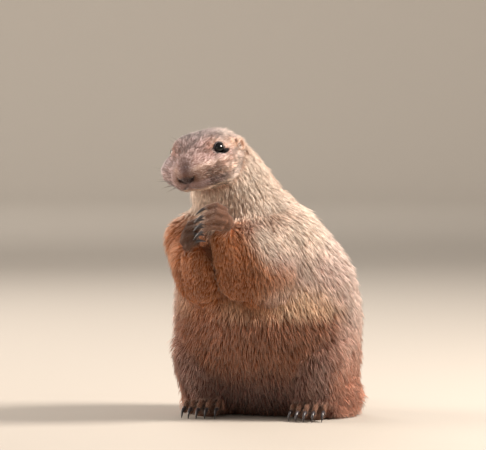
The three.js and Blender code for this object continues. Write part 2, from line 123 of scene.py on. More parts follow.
class PrairieDogColours(PropertyGroup):
    """Colours of the coat and skin, and of the painted shade and light on them."""

    back: colour_property("Back", "Cinnamon of the back", "#ccb2a9")
    flank: colour_property("Flank", "Paler side behind the arm", "#e4cfc6")
    haunch: colour_property("Haunch", "Redder side of the haunch near the floor", "#bd7d60")
    # Partly painted shade: the belly is darker than its buff fur, as the shaded front
    belly: colour_property("Belly", "Buff of the belly", "#95562f")
    # Painted shade: the dark of the low belly between the thighs and of the crease at the thighs
    groin_shade: colour_property("Groin", "Greyish brown between the thighs", "#74493f")
    # A real pale band, painted paler on the lit left side as painted light
    band: colour_property("Band", "Pale band below the elbows", "#ecc9a8")
    shoulder: colour_property("Shoulder", "Cream of the side of the neck", "#f4e6d9")
    nape: colour_property("Nape", "Nape and upper back", "#d6b9a6")
    throat: colour_property("Throat", "Cream of the throat", "#ead8c8")
    arm: colour_property("Arm", "Golden brown of the arm", "#b46f39")
    forearm: colour_property("Forearm", "Inner side of the forearm", "#a65e21")
    thigh: colour_property("Thigh", "Inner side of the thigh", "#92695c")
    paw: colour_property("Paw", "Short hair of the paws", "#8f7263")
    tail: colour_property("Tail", "Root of the tail", "#b58a6c")
    tail_tip: colour_property("Tail tip", "Black-brown end of the tail", "#2a201b")
    crown: colour_property("Crown", "Mauve-grey brown of the crown", "#96817f")
    brow: colour_property("Brow", "Rufous above and before the eye", "#8f5c47")
    temple: colour_property("Temple", "Peach behind the eye", "#d9b59b")
    eye_ring: colour_property("Eye ring", "Cream round the eye", "#eee0d5")
    cheek: colour_property("Cheek", "Cream of the cheek", "#c2b0a6")
    muzzle: colour_property("Muzzle", "Tan of the side of the muzzle", "#846b60")
    bridge: colour_property("Bridge", "Blue-grey of the bridge of the nose", "#776a71")
    nose: colour_property("Nose", "Bare skin of the nose", "#5c5055")
    # Also laid over the far side of the face as painted shade, lit by the blue sky
    lip: colour_property("Lip", "Pale upper lip", "#a69599")
    # Painted shade in the mouth line, the philtrum and the nostrils; also the real dark roots of the
    # whiskers
    mouth: colour_property("Mouth", "Dark line between the lips", "#2c191a")
    ear_rim: colour_property("Ear rim", "Pale rim of the ear", "#cbaa94")
    # Painted shade of the ear's hollow, over its rusty skin
    ear_cup: colour_property("Ear cup", "Rusty dark inside of the ear", "#2e1a13")
    lid: colour_property("Lid", "Bare skin of the eyelids", "#1c181b")
    # Painted shade: the dark of the gaps between the digits, of the crease between the arms and over the
    # far forepaw
    gap: colour_property("Gap", "Dark gaps between the digits and between the arms", "#2a1a15")
    claw: colour_property("Claw", "Charcoal of the claws", "#2b2729")


class PrairieDogStage(PropertyGroup):
    """Camera and floor."""

    azimuth: angle_property("Azimuth", "Turn of the camera from straight ahead", 18)
    elevation: angle_property("Elevation", "Height of the camera above the level", 3)
    distance: length_property("Distance", "From the camera to the animal", 3.0)
    image_width: length_property("Image width", "Width of the view at the animal", 0.384)
    floor: colour_property("Floor", "Matt studio paper", "#c2bab0")


# Places

# The head's own axes are +X to the animal's left, +Y to the nose and +Z out of the crown.
HEAD_TURN, HEAD_BOW, HEAD_TILT = (math.radians(v) for v in (8, 22, 6.5))
EYE_IN_HEAD = Vector((0, -1.8, -1.1))
EYE_AXIS = Vector((0.86, 0.47, 0.16))


def centre(node):
    low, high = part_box(node)
    return (low + high) / 2


def head_axes():
    turned = (
        Matrix.Rotation(-HEAD_TURN, 3, "Z") @ Matrix.Rotation(HEAD_BOW, 3, "X")
        @ Matrix.Rotation(-HEAD_TILT, 3, "Y")
    )
    return [turned @ Vector(axis) for axis in ((1, 0, 0), (0, -1, 0), (0, 0, 1))]


HEAD_AXES = np.array(head_axes())
EYE_RADIUS_MM = (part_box("eye_left")[1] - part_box("eye_left")[0]).z / 2 / MM
HEAD_ORIGIN = np.array((centre("eye_left") + centre("eye_right")) / 2) - MM * (
    np.array(EYE_IN_HEAD) @ HEAD_AXES
)


def to_head(points):
    """Points in metres as places in the head, in millimetres."""
    return (points - HEAD_ORIGIN) @ HEAD_AXES.T / MM


def from_head(places):
    """Places in the head, in millimetres, as points in metres."""
    return HEAD_ORIGIN + MM * (np.asarray(places, float) @ HEAD_AXES)


def turn_from_head(ways):
    """Directions in the head as directions of the frame."""
    return np.asarray(ways, float) @ HEAD_AXES


# Numbers


def ease(low, high, value):
    """Rises smoothly from 0 at low to 1 at high."""
    t = np.clip((value - low) / (high - low), 0, 1)
    return t * t * (3 - 2 * t)


def unit(vectors):
    return vectors / np.maximum(np.linalg.norm(vectors, axis=-1, keepdims=True), 1e-12)


def spot(places, at, radii):
    """1 at a place, falling smoothly to 0 past the radii."""
    return np.exp(-(((places - np.array(at)) / np.array(radii)) ** 2).sum(axis=1))


def blend(tone, colour, share):
    """Mixes one colour into an array of colours by a share for each."""
    return tone + (np.array(colour) - tone) * share[:, None]


# Objects


def deselect():
    bpy.ops.object.select_all(action="DESELECT")


def choose(obj):
    deselect()
    obj.select_set(True)
    bpy.context.view_layer.objects.active = obj


def apply_modifier(obj, kind, **settings):
    """Adds a modifier, sets it and applies it."""
    choose(obj)
    bpy.ops.object.modifier_add(type=kind)
    modifier = obj.modifiers[-1]
    for name, value in settings.items():
        setattr(modifier, name, value)
    bpy.ops.object.modifier_apply(modifier=modifier.name)


def add_object(name, mesh):
    obj = bpy.data.objects.new(name, mesh)
    bpy.context.scene.collection.objects.link(obj)
    return obj


def edit(obj, *steps):
    """Runs operators with their settings on the whole of an object in edit mode."""
    choose(obj)
    bpy.ops.object.mode_set(mode="EDIT")
    bpy.ops.mesh.select_all(action="SELECT")
    for operator, settings in steps:
        operator(**settings)
    bpy.ops.object.mode_set(mode="OBJECT")


def merge(obj, others):
    choose(obj)
    for other in others:
        other.select_set(True)
    if others:
        bpy.ops.object.join()
    return obj


def merged_copy(name, nodes):
    """One mesh from copies of frame nodes, with their loose triangles merged."""
    pieces = [add_object(name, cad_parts[node].data.copy()) for node in nodes]
    merged = merge(pieces[0], pieces[1:])
    merged.data.materials.clear()
    edit(
        merged, (bpy.ops.mesh.remove_doubles, {"threshold": WELD_MM * MM}),
        (bpy.ops.mesh.customdata_custom_splitnormals_clear, {}),
    )
    return merged


def weigh(obj, name, weights, levels=16):
    """A vertex group from an array of weights, in steps."""
    group = obj.vertex_groups.new(name=name)
    steps = np.rint(np.clip(weights, 0, 1) * levels).astype(int)
    for step in range(1, levels + 1):
        chosen = np.flatnonzero(steps == step)
        if len(chosen):
            group.add(chosen.tolist(), step / levels, "REPLACE")
    return group.name


def read(mesh, attribute="position"):
    values = np.empty(len(mesh.vertices) * 3)
    if attribute == "position":
        mesh.vertices.foreach_get("co", values)
    else:
        mesh.vertex_normals.foreach_get("vector", values)
    return values.reshape(-1, 3)


def write(mesh, points):
    mesh.vertices.foreach_set("co", points.ravel())
    mesh.update()


def corners(mesh):
    """The triangles of a mesh as rows of three vertices."""
    mesh.calc_loop_triangles()
    rows = np.empty(len(mesh.loop_triangles) * 3, np.int32)
    mesh.loop_triangles.foreach_get("vertices", rows)
    return rows.reshape(-1, 3)


def edge_rows(mesh):
    rows = np.empty(len(mesh.edges) * 2, np.int32)
    mesh.edges.foreach_get("vertices", rows)
    return rows.reshape(-1, 2)


def spread(values, edges, times):
    """Averages values with those of neighbouring vertices."""
    count = len(values)
    first, second = edges.T
    near = np.bincount(first, minlength=count) + np.bincount(second, minlength=count)
    near = np.maximum(near, 1)
    table = values.reshape(count, -1).copy()
    for _ in range(times):
        for column in range(table.shape[1]):
            old = table[:, column]
            total = np.bincount(first, old[second], count) + np.bincount(second, old[first], count)
            table[:, column] = 0.5 * old + 0.5 * total / near
    return table.reshape(values.shape)


def store(mesh, name, values, colour=False):
    """Keeps one number or one colour for each vertex."""
    kind = "FLOAT_COLOR" if colour else "FLOAT"
    layer = mesh.attributes.get(name) or mesh.attributes.new(name, kind, "POINT")
    layer.data.foreach_set("color" if colour else "value", np.asarray(values, np.float32).ravel())


def recall_colour(mesh, name):
    """The colours that were stored, with a row for each vertex."""
    values = np.empty(len(mesh.vertices) * 4, np.float32)
    mesh.attributes[name].data.foreach_get("color", values)
    return values.reshape(-1, 4)


def finish_piece(obj, material, replaced=()):
    obj.data.materials.clear()
    obj.data.materials.append(material)
    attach(obj, "root")
    if replaced:
        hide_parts(*replaced)
    deselect()


# Which node of the frame a point of the skin belongs to


def flesh_tree():
    points, faces, owners, start = [], [], [], 0
    for index, node in enumerate(FLESH):
        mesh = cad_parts[node].data
        rows = corners(mesh)
        points.append(read(mesh))
        faces.append(rows + start)
        owners.append(np.full(len(rows), index))
        start += len(mesh.vertices)
    tree = BVHTree.FromPolygons(np.concatenate(points).tolist(), np.concatenate(faces).tolist())
    return tree, np.concatenate(owners)


FLESH_TREE, FLESH_OWNERS = flesh_tree()


def owner_masks(points):
    """For each point, 1 in the column of the node that it is nearest to."""
    owners = [FLESH_OWNERS[FLESH_TREE.find_nearest(point)[2]] for point in points.tolist()]
    return np.eye(len(FLESH))[owners]


# Nodes that share one kind of coat
GROUPS = {
    "trunk": ("abdomen", "chest"),
    "ears": ("ear_left", "ear_right"),
    "upper_arms": ("upper_arm_left", "upper_arm_right"),
    "forearms": ("forearm_left", "forearm_right"),
    "forepaws": ("forepaw_left", "forepaw_right"),
    "thighs": ("thigh_left", "thigh_right"),
    "feet": ("hind_foot_left", "hind_foot_right"),
    "tails": ("tail", "tail_tip"),
}


class Body:
    """Places on the skin: their masks by node and by group, their places in the head and their way out."""

    def __init__(self, points, normals, masks, edges):
        self.points, self.normals, self.masks, self.edges = points, normals, masks, edges
        self.mm = points / MM
        self.head_mm = to_head(points)
        self.across = np.abs(self.head_mm[:, 0])
        self.face_mm = np.column_stack([self.across, self.head_mm[:, 1:]])
        self.facing = -normals[:, 1]
        self.front = ease(-0.15, 0.75, self.facing)
        for name, nodes in GROUPS.items():
            setattr(self, name, self.of(*nodes))

    def of(self, *names):
        return self.masks[:, [FLESH.index(name) for name in names]].sum(axis=1)

    def softly(self, *names):
        """The same with edges a few millimetres wide, for the markings."""
        return spread(self.of(*names), self.edges, 45)

    def as_now(self, mesh):
        """The same masks, for the mesh as it now lies."""
        return Body(read(mesh), read(mesh, "normal"), self.masks, self.edges)


# Face: places in the head, in millimetres, with x to either side
EYE_MM = (21.5, 0.6, -0.2)
NOSE_MM = (0, 27.6, -13.2)
NOSTRIL_MM = ((0.9, 26.6, -16.2), (3.6, 27.0, -14.6), (5.6, 26.9, -12.9), (6.6, 26.4, -11.8))
NOSTRIL_HOLE_MM = (5.0, 27, -13.3)
PHILTRUM_MM = ((0, 26.6, -16.4), (0, 26.4, -20.5))
MOUTH_MM = ((0, 26.4, -20.5), (3, 25.4, -21.2), (6.5, 22.5, -22.3), (11, 16.5, -22.6), (14.5, 9.5, -21.2))
EAR_MM = to_head(np.array(centre("ear_left")))
EAR_CUP_MM = EAR_MM + np.array((1.6, 2.2, 0.0))


def eye_way(side):
    way = np.array(EYE_AXIS) * np.array((SIDES[side], 1, 1))
    return unit(turn_from_head(way))


def round_eye(points, side):
    """The way from the middle of an eye to each point, its length and its turn from the eye's axis."""
    out = (points - np.array(centre(f"eye_{side}"))) / MM
    far = np.linalg.norm(out, axis=1)
    turn = np.degrees(np.arccos(np.clip(out @ eye_way(side) / np.maximum(far, 1e-9), -1, 1)))
    return out, far, turn


def turn_from_eyes(points):
    """How far each point lies from the axis of the nearer eye, in degrees, and 180 away from the eyes."""
    turns = []
    for side in SIDES:
        _, far, turn = round_eye(points, side)
        turns.append(np.where(far < EYE_RADIUS_MM + 4, turn, 180))
    return np.minimum(*turns)


def near_eye(body, reach):
    """1 at the eyes, falling smoothly to 0 past a reach in millimetres."""
    return spot(body.face_mm, EYE_MM, (reach, reach, reach))


def line_distance(face_mm, line):
    """Distance to a line through places, in millimetres."""
    best = np.full(len(face_mm), 99.0)
    line = np.array(line, float)
    for start, end in zip(line[:-1], line[1:]):
        run = end - start
        share = np.clip((face_mm - start) @ run / (run @ run), 0, 1)
        best = np.minimum(best, np.linalg.norm(face_mm - start - share[:, None] * run, axis=1))
    return best


def digit_gaps():
    """The gaps between neighbouring digits, each a line of places in millimetres."""
    gaps = []
    for side in SIDES:
        palm = np.array(centre(f"forepaw_{side}")) / MM
        fingers = [np.array(centre(f"finger_claw_{side}_{i}")) / MM for i in range(1, 5)]
        toes = [np.array(centre(f"toe_claw_{side}_{i}")) / MM for i in range(1, 6)]
        for first, second in zip(fingers, fingers[1:]):
            start = (first + second) / 2
            gaps.append([start, start + (palm - start) * 0.85])
        for first, second in zip(toes, toes[1:]):
            start = (first + second) / 2
            gaps.append([start, start + (0, 5, 5), start + (0, 10, 9.5), start + (0, 16, 8)])
    return gaps


DIGIT_GAPS = digit_gaps()


def in_gaps(body, wide, narrow):
    """1 in the gaps between the digits, falling to 0 at a distance."""
    distance = np.min([line_distance(body.mm, line) for line in DIGIT_GAPS], axis=0)
    return ease(wide, narrow, distance) * np.clip(body.forepaws + body.feet, 0, 1)


def between_arms(body):
    """1 along the crease where the two arms meet."""
    left = body.of("upper_arm_left", "forearm_left")
    right = body.of("upper_arm_right", "forearm_right")
    return np.clip(5 * left * right, 0, 1)


def bareness(body):
    """1 where the skin shows: the nose, the lips and inside the ears."""
    nose = ease(1.6, 0.8, line_distance(body.face_mm, NOSTRIL_MM))
    lips = ease(1.5, 0.7, line_distance(body.face_mm, MOUTH_MM))
    cup = ease(0.2, 0.8, spot(body.face_mm, EAR_CUP_MM, (3.4, 2.8, 3.4)) * body.ears)
    return np.clip((nose + lips) * body.of("head") + cup + in_gaps(body, 1.2, 0.6), 0, 1)


def coat_depth(body):
    """Height of the tips above the skin, in metres."""
    full = coat().depth
    _, y, up = body.head_mm.T
    head = MM * (0.7 + 1.9 * ease(4, -26, y) + 0.5 * ease(-12, -22, up) * ease(16, 8, y))
    head *= (1 - 0.75 * near_eye(body, 6.5)) * (1 - 0.55 * ease(14, 24, y))
    depth = full * (
        body.trunk + 0.9 * body.of("neck") + 0.95 * body.thighs + 0.8 * body.upper_arms
        + 0.55 * body.forearms + 1.1 * body.tails
    )
    depth += MM * (0.45 * body.forepaws + 0.5 * body.feet + 0.5 * body.ears) + head * body.of("head")
    return depth * (1 - 0.95 * bareness(body))


# Markings, with painted shade and light. Heights, widths and places are in millimetres, and each layer lies
# over those before it.


def lay(tone, layers):
    """Lays named colours over one another, each by a share for each place."""
    for name, share in layers:
        tone = blend(tone, getattr(colours(), name), share)
    return tone


def belly_share(body):
    """1 on the belly, whose painted shade reaches less far round on the lit left side of the animal."""
    x, _, z = body.mm.T
    return ease(0.25, 0.8, body.facing - 0.2 * ease(-30, 30, x) * ease(85, 105, z))


def golden_share(body):
    """The golden brown of the arms: all of the inner side, and the lower part of the left arm's outer
    side. Its reaching high on the far right arm is painted shade."""
    x, _, z = body.mm.T
    outer = ease(-6, 26, x)
    return ease(176 - 42 * outer, 146 - 30 * outer, z) * ease(50, 12, x + 14 * ease(116, 100, z))


def body_colours_and_shade(body):
    """Colour of the coat of the trunk, limbs and tail, with painted shade and light in places."""
    x, _, z = body.mm.T
    facing = body.facing
    to_left = ease(-30, 30, x)
    behind = ease(0.1, -0.6, facing)
    belly = belly_share(body)
    side = ease(0.2, 0.7, np.abs(body.normals[:, 0]))
    thighs = body.softly(*GROUPS["thighs"])
    upper_arms = body.softly(*GROUPS["upper_arms"])
    forearms = body.softly(*GROUPS["forearms"])
    # The crease between the thighs and the belly, where painted shade goes
    fold = 4 * thighs * body.softly("abdomen") * body.front * ease(66, 46, z) * ease(54, 40, np.abs(x))
    golden = np.clip(upper_arms + 1.2 * forearms, 0, 1) * golden_share(body)
    # Painted light: a pale patch under the left elbow only, on the lit side
    lit_under_elbow = np.clip(upper_arms + forearms, 0, 1) * ease(18, 40, x) * ease(128, 106, z)
    back = np.tile(np.array(colours().back), (len(z), 1))
    return lay(back, (
        ("flank", 0.9 * ease(0.9, 0.1, np.abs(facing))),
        ("haunch", ease(100, 25, z) * (0.9 - 0.45 * behind)),
        ("arm", 0.22 * behind),
        ("nape", ease(140, 165, z)),
        # The belly's colour, partly painted shade, which stops lower on the lit left side
        ("belly", belly * ease(118 - 12 * to_left, 98 - 8 * to_left, z)),
        # The pale band, with painted light making it stronger on the lit left side
        ("band", belly * ease(80, 94, z) * ease(116, 104, z) * (0.35 + 0.6 * to_left)),
        # Painted shade on the low belly between the thighs, near the floor
        ("groin_shade", belly * ease(54, 24, z) * ease(60, 34, np.abs(x))),
        ("throat", belly * ease(110, 125, z)),
        ("shoulder", side * ease(122, 150, z) * body.front ** 0.3),
        ("haunch", 0.5 * thighs * ease(0.3, -0.2, facing) * (1 - behind)),
        ("thigh", thighs * ease(0.25, 0.8, facing) * ease(92, 64, z)),
        # Painted shade in the crease between the thighs and the belly
        ("groin_shade", 0.8 * np.clip(fold, 0, 1)),
        # Painted light under the lit left elbow
        ("band", 0.7 * lit_under_elbow),
        ("arm", golden),
        ("forearm", 0.9 * golden * ease(150, 106, z)),
        ("paw", np.clip(body.forepaws + body.feet, 0, 1)),
        # Painted shade: the far right forepaw half darkened, and dark in the gaps between the digits and
        # the crease between the arms
        ("gap", 0.5 * body.of("forepaw_right")),
        ("gap", in_gaps(body, 1.5, 0.6)),
        ("gap", 0.7 * between_arms(body)),
        ("tail", body.of("tail")),
        ("tail_tip", body.of("tail_tip")),
    ))


def face_colours_and_shade(body):
    """Colour of the coat of the head, with painted shade on the far side and in the mouth and nostrils."""
    h = body.face_mm
    x, y, up = h.T
    turn = turn_from_eyes(body.points)
    # Rows of dark whisker roots on the pad of the lip
    roots = ease(0.3, 0.75, np.sin(y * 2.1 + up * 1.2) * np.sin(up * 2.6 - y * 0.5))
    pad = ease(9, 13, y) * ease(24, 20, y) * ease(-8, -11, up) * ease(-20, -17, up) * ease(4, 7, x)
    # Painted shade: the far right side of the face is painted lilac-grey, as in shade lit by the blue sky
    painted_far_shade = ease(-6, -14, body.head_mm[:, 0]) * ease(-4, 8, y) * ease(2, -4, up)
    # The crown is palest before the eyes and darkest on top
    crown = np.array(colours().crown) * (1.2 - 0.65 * ease(6, -6, y) * ease(0, 5, up))[:, None]
    return lay(crown, (
        ("nape", ease(-24, -38, y)),
        ("brow", 0.85 * spot(h, (17, 6, 4.5), (6.5, 9, 6))),
        ("eye_ring", 0.7 * spot(h, (15, -26, 4), (6, 13, 5))),
        ("temple", 0.9 * spot(h, (23, -16, -3), (6, 9, 7))),
        ("cheek", ease(-4, -9, up - 0.1 * y) * ease(15, 21, x + 0.6 * np.abs(y - 4))),
        ("muzzle", ease(6, 13, y) * ease(-5, -9, up)),
        ("bridge", 0.9 * spot(h, (0, 24, -5), (6, 7, 6))),
        ("lip", ease(11, 19, y) * ease(-13.5, -17.5, up)),
        ("throat", ease(-20.5, -25, up)),
        # Two pale folds and two dark ones under the eye
        ("eye_ring", 0.45 * spot(h, (24.5, 4, -6.4), (5, 8, 1.5))),
        ("brow", 0.85 * spot(h, (24, 4, -8.6), (8, 10, 2.6))),
        ("eye_ring", 0.5 * spot(h, (26, 5, -11), (5, 9, 1.5))),
        ("temple", 0.8 * spot(h, (26, 3, -13.4), (6, 12, 1.6))),
        ("mouth", 0.85 * pad * roots),
        # Painted shade of the far side of the face
        ("lip", 0.8 * painted_far_shade),
        ("eye_ring", 0.3 * ease(90, 74, turn)),
        ("lid", ease(60, 55, turn)),
        ("nose", ease(0.3, 0.7, spot(h, NOSE_MM, (4.4, 4.5, 3.0)) ** 0.7)),
        # Painted shade in the mouth line, the philtrum and the nostrils
        ("mouth", ease(1.0, 0.5, line_distance(h, MOUTH_MM))),
        ("mouth", 0.8 * ease(0.9, 0.5, line_distance(h, PHILTRUM_MM))),
        ("mouth", ease(1.5, 0.9, line_distance(h, NOSTRIL_MM))),
        ("mouth", ease(0.35, 0.6, spot(h, NOSTRIL_HOLE_MM, (2.2, 4, 2.0)))),
    ))


def lock_contrast(body):
    """How much the locks differ in tone: most on the head, least on the belly, neck and lower limbs."""
    z = body.mm[:, 2]
    contrast = 0.42 - 0.16 * belly_share(body) * ease(120, 100, z)
    contrast -= 0.15 * ease(60, 120, z) * ease(0.2, -0.3, body.facing)
    contrast *= 1 - 0.5 * body.softly("neck")
    contrast *= 1 - 0.35 * np.clip(body.forearms + body.forepaws + body.feet, 0, 1)
    return contrast + (1 - contrast) * body.of("head") * ease(26, 16, body.face_mm[:, 1])


def markings_and_shade(body):
    """Colour of the coat at each place, painted shade and light included, and how much its locks differ, in
    the fourth column.
    """
    tone = body_colours_and_shade(body)
    head = np.clip(body.of("head") + 0.6 * body.ears, 0, 1)
    tone = tone + (face_colours_and_shade(body) - tone) * head[:, None]
    # Painted shade in the hollow of the ear, over its rusty skin
    cup = ease(0.3, 0.65, spot(body.face_mm, EAR_CUP_MM, (3.2, 3.4, 3.6))) * ease(0.1, 0.5, body.ears)
    tone = lay(tone, (("ear_rim", 0.8 * body.ears), ("ear_cup", cup)))
    return np.column_stack([np.clip(tone, 0, 1), lock_contrast(body)])


def coat_flow(body):
    """The way that the hair lies: from the nose back over the head, then down, and round the sides to the
    back."""
    n = body.normals
    # The line where the hair parts runs up the belly and then towards the turned head
    aside = body.mm[:, 0] + 22 * ease(120, 196, body.mm[:, 2])
    round_body = np.sign(aside)[:, None] * np.column_stack([-n[:, 1], n[:, 0], 0 * aside])
    swept = ease(4, 34, np.abs(aside)) * ease(0.85, 0.3, n[:, 1]) * (1 - 0.4 * body.front)
    trunk = np.array((0, 0, -1)) + 0.66 * swept[:, None] * round_body
    x, _, up = body.head_mm.T
    ones = np.ones(len(x))
    head = np.column_stack([
        0.35 * np.sign(x) * ease(0, 12, body.across), -ones, -0.25 - 0.5 * ease(-8, -20, up),
    ])
    ear = np.column_stack([0.3 * np.sign(x), -0.4 * ones, ones])
    limbs = body.trunk + body.thighs + body.of("neck") + body.upper_arms + body.forearms
    flow = limbs[:, None] * trunk
    flow += body.of("head")[:, None] * turn_from_head(head) + body.ears[:, None] * turn_from_head(ear)
    flow += body.feet[:, None] * np.array((0, -1, -0.25)) + body.tails[:, None] * np.array((0, 1, 0.05))
    for side in SIDES:
        fingers = np.array(centre(f"finger_claw_{side}_2") - centre(f"forepaw_{side}"))
        flow += body.of(f"forepaw_{side}")[:, None] * unit(fingers)
    return flow


def on_surface(flow, normals):
    return unit(flow - normals * (flow * normals).sum(axis=1, keepdims=True))


# Materials


def add_node(tree, kind, sockets=None, **settings):
    """Adds a node, sets it, and sets or links its sockets."""
    node = tree.nodes.new(kind)
    for name, value in settings.items():
        setattr(node, name, value)
    for socket, value in (sockets or {}).items():
        if isinstance(value, bpy.types.NodeSocket):
            tree.links.new(value, node.inputs[socket])
        else:
            node.inputs[socket].default_value = value
    return node


# Sockets of the Mix node when it mixes colours
MIX_SHARE, MIX_A, MIX_B, MIX_RESULT = 0, 6, 7, 2


def mixed(tree, share, first, second, how="MIX"):
    node = add_node(
        tree, "ShaderNodeMix", {MIX_SHARE: share, MIX_A: first, MIX_B: second},
        data_type="RGBA", blend_type=how,
    )
    return node.outputs[MIX_RESULT]


def times(tree, first, second, share=1.0):
    return mixed(tree, share, first, second, "MULTIPLY")


def attribute(tree, name, output="Fac"):
    return add_node(tree, "ShaderNodeAttribute", attribute_name=name).outputs[output]


def object_place(tree):
    return add_node(tree, "ShaderNodeTexCoord").outputs["Object"]


def noise(tree, size_mm, detail=2.0):
    sockets = {"Vector": object_place(tree), "Scale": 1 / (size_mm * MM), "Detail": detail}
    return add_node(tree, "ShaderNodeTexNoise", sockets).outputs["Fac"]


def ranged(tree, value, **limits):
    """A value mapped to other limits. Each limit is the name of a socket, with a line for its space."""
    sockets = {name.replace("_", " "): limit for name, limit in limits.items()}
    return add_node(tree, "ShaderNodeMapRange", {"Value": value, **sockets}).outputs[0]


def ramped(tree, value, stops):
    """A colour ramp through stops, each a position and a colour."""
    node = add_node(tree, "ShaderNodeValToRGB", {"Fac": value})
    elements = node.color_ramp.elements
    for element, (position, colour) in zip(elements, (stops[0], stops[-1])):
        element.position, element.color = position, colour
    for position, colour in stops[1:-1]:
        elements.new(position).color = colour
    return node.outputs["Color"]


def bumped(tree, height, strength, depth_mm):
    sockets = {"Height": height, "Strength": strength, "Distance": depth_mm * MM}
    return add_node(tree, "ShaderNodeBump", sockets).outputs["Normal"]


def opaque(colour):
    return (*colour, 1.0)


def coloured(code):
    return opaque(linear(code))


def new_material(name):
    material = bpy.data.materials.new(name)
    material.use_nodes = True
    material.node_tree.nodes.clear()
    return material, material.node_tree


def set_surface(tree, tone, roughness, sockets):
    """Ends a material with its shader."""
    settings = {"Base Color": tone, "Roughness": roughness, **sockets}
    shader = add_node(tree, "ShaderNodeBsdfPrincipled", settings)
    add_node(tree, "ShaderNodeOutputMaterial", {"Surface": shader.outputs["BSDF"]})


def hair_keratin():
    """Guard hairs of keratin. Each lock is dark and warm at its root and pale at its tip, with a satin
    surface, and locks differ in tone, which gives the grizzled look of the coat."""
    material, tree = new_material("hair_keratin_coat")
    base, contrast = attribute(tree, "marking_and_shade", "Color"), attribute(tree, "marking_and_shade", "Alpha")
    along = attribute(tree, "along")
    root = times(tree, base, coloured("#cfae9c"))
    tip = mixed(tree, 0.2, base, coloured("#f6ebe2"))
    tone = mixed(tree, ranged(tree, along, From_Min=0.0, From_Max=0.55), root, base)
    tone = mixed(tree, ranged(tree, along, From_Min=0.35, From_Max=0.9), tone, tip)
    ticks = ramped(tree, attribute(tree, "shade"), (
        (0.12, (0.3, 0.28, 0.27, 1)), (0.5, (0.92, 0.91, 0.9, 1)), (0.9, (1.9, 1.92, 1.96, 1)),
    ))
    tone = times(tree, tone, mixed(tree, contrast, (1, 1, 1, 1), ticks))
    tone = times(tree, tone, ranged(tree, noise(tree, 9, 3.0), To_Min=0.86, To_Max=1.14))
    set_surface(tree, tone, 0.62, {
        "Specular IOR Level": 0.3, "Sheen Weight": 0.08, "Sheen Roughness": 0.45, "IOR": 1.55,
    })
    return material


def furred_skin():
    """Skin with short underfur, bare on the nose, lips and ear cups. Underfur is matt and grainy; bare
    skin is finely pored and slightly moist."""
    material, tree = new_material("furred_skin")
    marking_and_shade, bare = attribute(tree, "marking_and_shade", "Color"), attribute(tree, "bare")
    fine = noise(tree, 0.7, 4.0)
    under = times(tree, marking_and_shade, coloured("#dcc4b6"))
    under = times(tree, under, ranged(tree, fine, To_Min=0.7, To_Max=1.3))
    pores = add_node(
        tree, "ShaderNodeTexVoronoi", {"Vector": object_place(tree), "Scale": 1 / (0.5 * MM)}, feature="F1"
    )
    relief = mixed(tree, bare, fine, pores.outputs["Distance"])
    rough = ranged(tree, bare, To_Min=0.88, To_Max=0.42)
    set_surface(tree, mixed(tree, bare, under, marking_and_shade), rough, {
        "Normal": bumped(tree, relief, 0.5, 0.2), "Specular IOR Level": 0.3,
    })
    return material


def wet_cornea():
    """The clear wet front of the eye over a dark brown iris: nearly black, with sharp highlights."""
    material, tree = new_material("wet_cornea")
    iris = ramped(tree, attribute(tree, "off_axis"), (
        (0.22, coloured("#050405")), (0.3, coloured("#24130d")), (0.62, coloured("#0d0706")),
    ))
    tone = times(tree, iris, noise(tree, 0.6), 0.35)
    set_surface(tree, tone, 0.04, {"IOR": 1.38, "Coat Weight": 0.3, "Coat Roughness": 0.02})
    return material


def lid_skin():
    """Bare, dark, slightly moist skin of the eyelids, finely wrinkled."""
    material, tree = new_material("lid_skin")
    folds = noise(tree, 0.6, 3.0)
    tone = mixed(tree, folds, opaque(colours().lid), coloured("#453d42"))
    set_surface(tree, tone, 0.42, {"Normal": bumped(tree, folds, 0.5, 0.1)})
    return material


def claw_keratin():
    """Digging claws of dense keratin: charcoal, polished by soil, with fine lengthwise growth lines."""
    material, tree = new_material("claw_keratin")
    lines = noise(tree, 0.5)
    # Greyer along each claw towards the high corner of its box
    charcoal_to_grey = mixed(tree, attribute(tree, "along"), opaque(colours().claw), coloured("#5d575c"))
    set_surface(tree, times(tree, charcoal_to_grey, lines, 0.4), 0.3, {
        "IOR": 1.55, "Normal": bumped(tree, lines, 0.25, 0.08),
    })
    return material


def whisker_keratin():
    """Stiff single hairs: dark at the root, clearer and browner to the tip, with a satin gloss."""
    material, tree = new_material("whisker_keratin")
    tone = mixed(tree, attribute(tree, "along"), coloured("#1b1412"), coloured("#7a6558"))
    set_surface(tree, tone, 0.4, {"IOR": 1.55})
    return material


def studio_paper():
    """Matt seamless paper: even, pale and barely grained."""
    material, tree = new_material("studio_paper")
    floor = stage().floor
    tone = mixed(tree, noise(tree, 2), opaque(floor), opaque(tuple(0.94 * v for v in floor)))
    set_surface(tree, tone, 0.9, {})
    return material


# Skin

# Growth of the solids over the gaps between them, size of the skin's voxels, and the share of its faces
# that stays
GROWTH_MM, VOXEL_MM, SKIN_SHARE = 0.36, 0.75, 0.42
# The same for the filled creases, with what is left of their growth
CREASE_MM, CREASE_VOXEL_MM, CREASE_LEFT_MM = 3.0, 1.2, 0.3


def filled_creases(side):
    """The chest and one arm with the narrow creases between them filled, as the coat fills them."""
    filled = merged_copy("filled", ["chest", "neck", f"upper_arm_{side}", f"forearm_{side}"])
    apply_modifier(filled, "DISPLACE", strength=CREASE_MM * MM, mid_level=0.0)
    apply_modifier(filled, "REMESH", mode="VOXEL", voxel_size=CREASE_VOXEL_MM * MM)
    apply_modifier(filled, "SMOOTH", factor=0.5, iterations=6)
    apply_modifier(filled, "DISPLACE", strength=(CREASE_LEFT_MM - CREASE_MM) * MM, mid_level=0.0)
    apply_modifier(filled, "REMESH", mode="VOXEL", voxel_size=CREASE_VOXEL_MM * MM)
    return filled


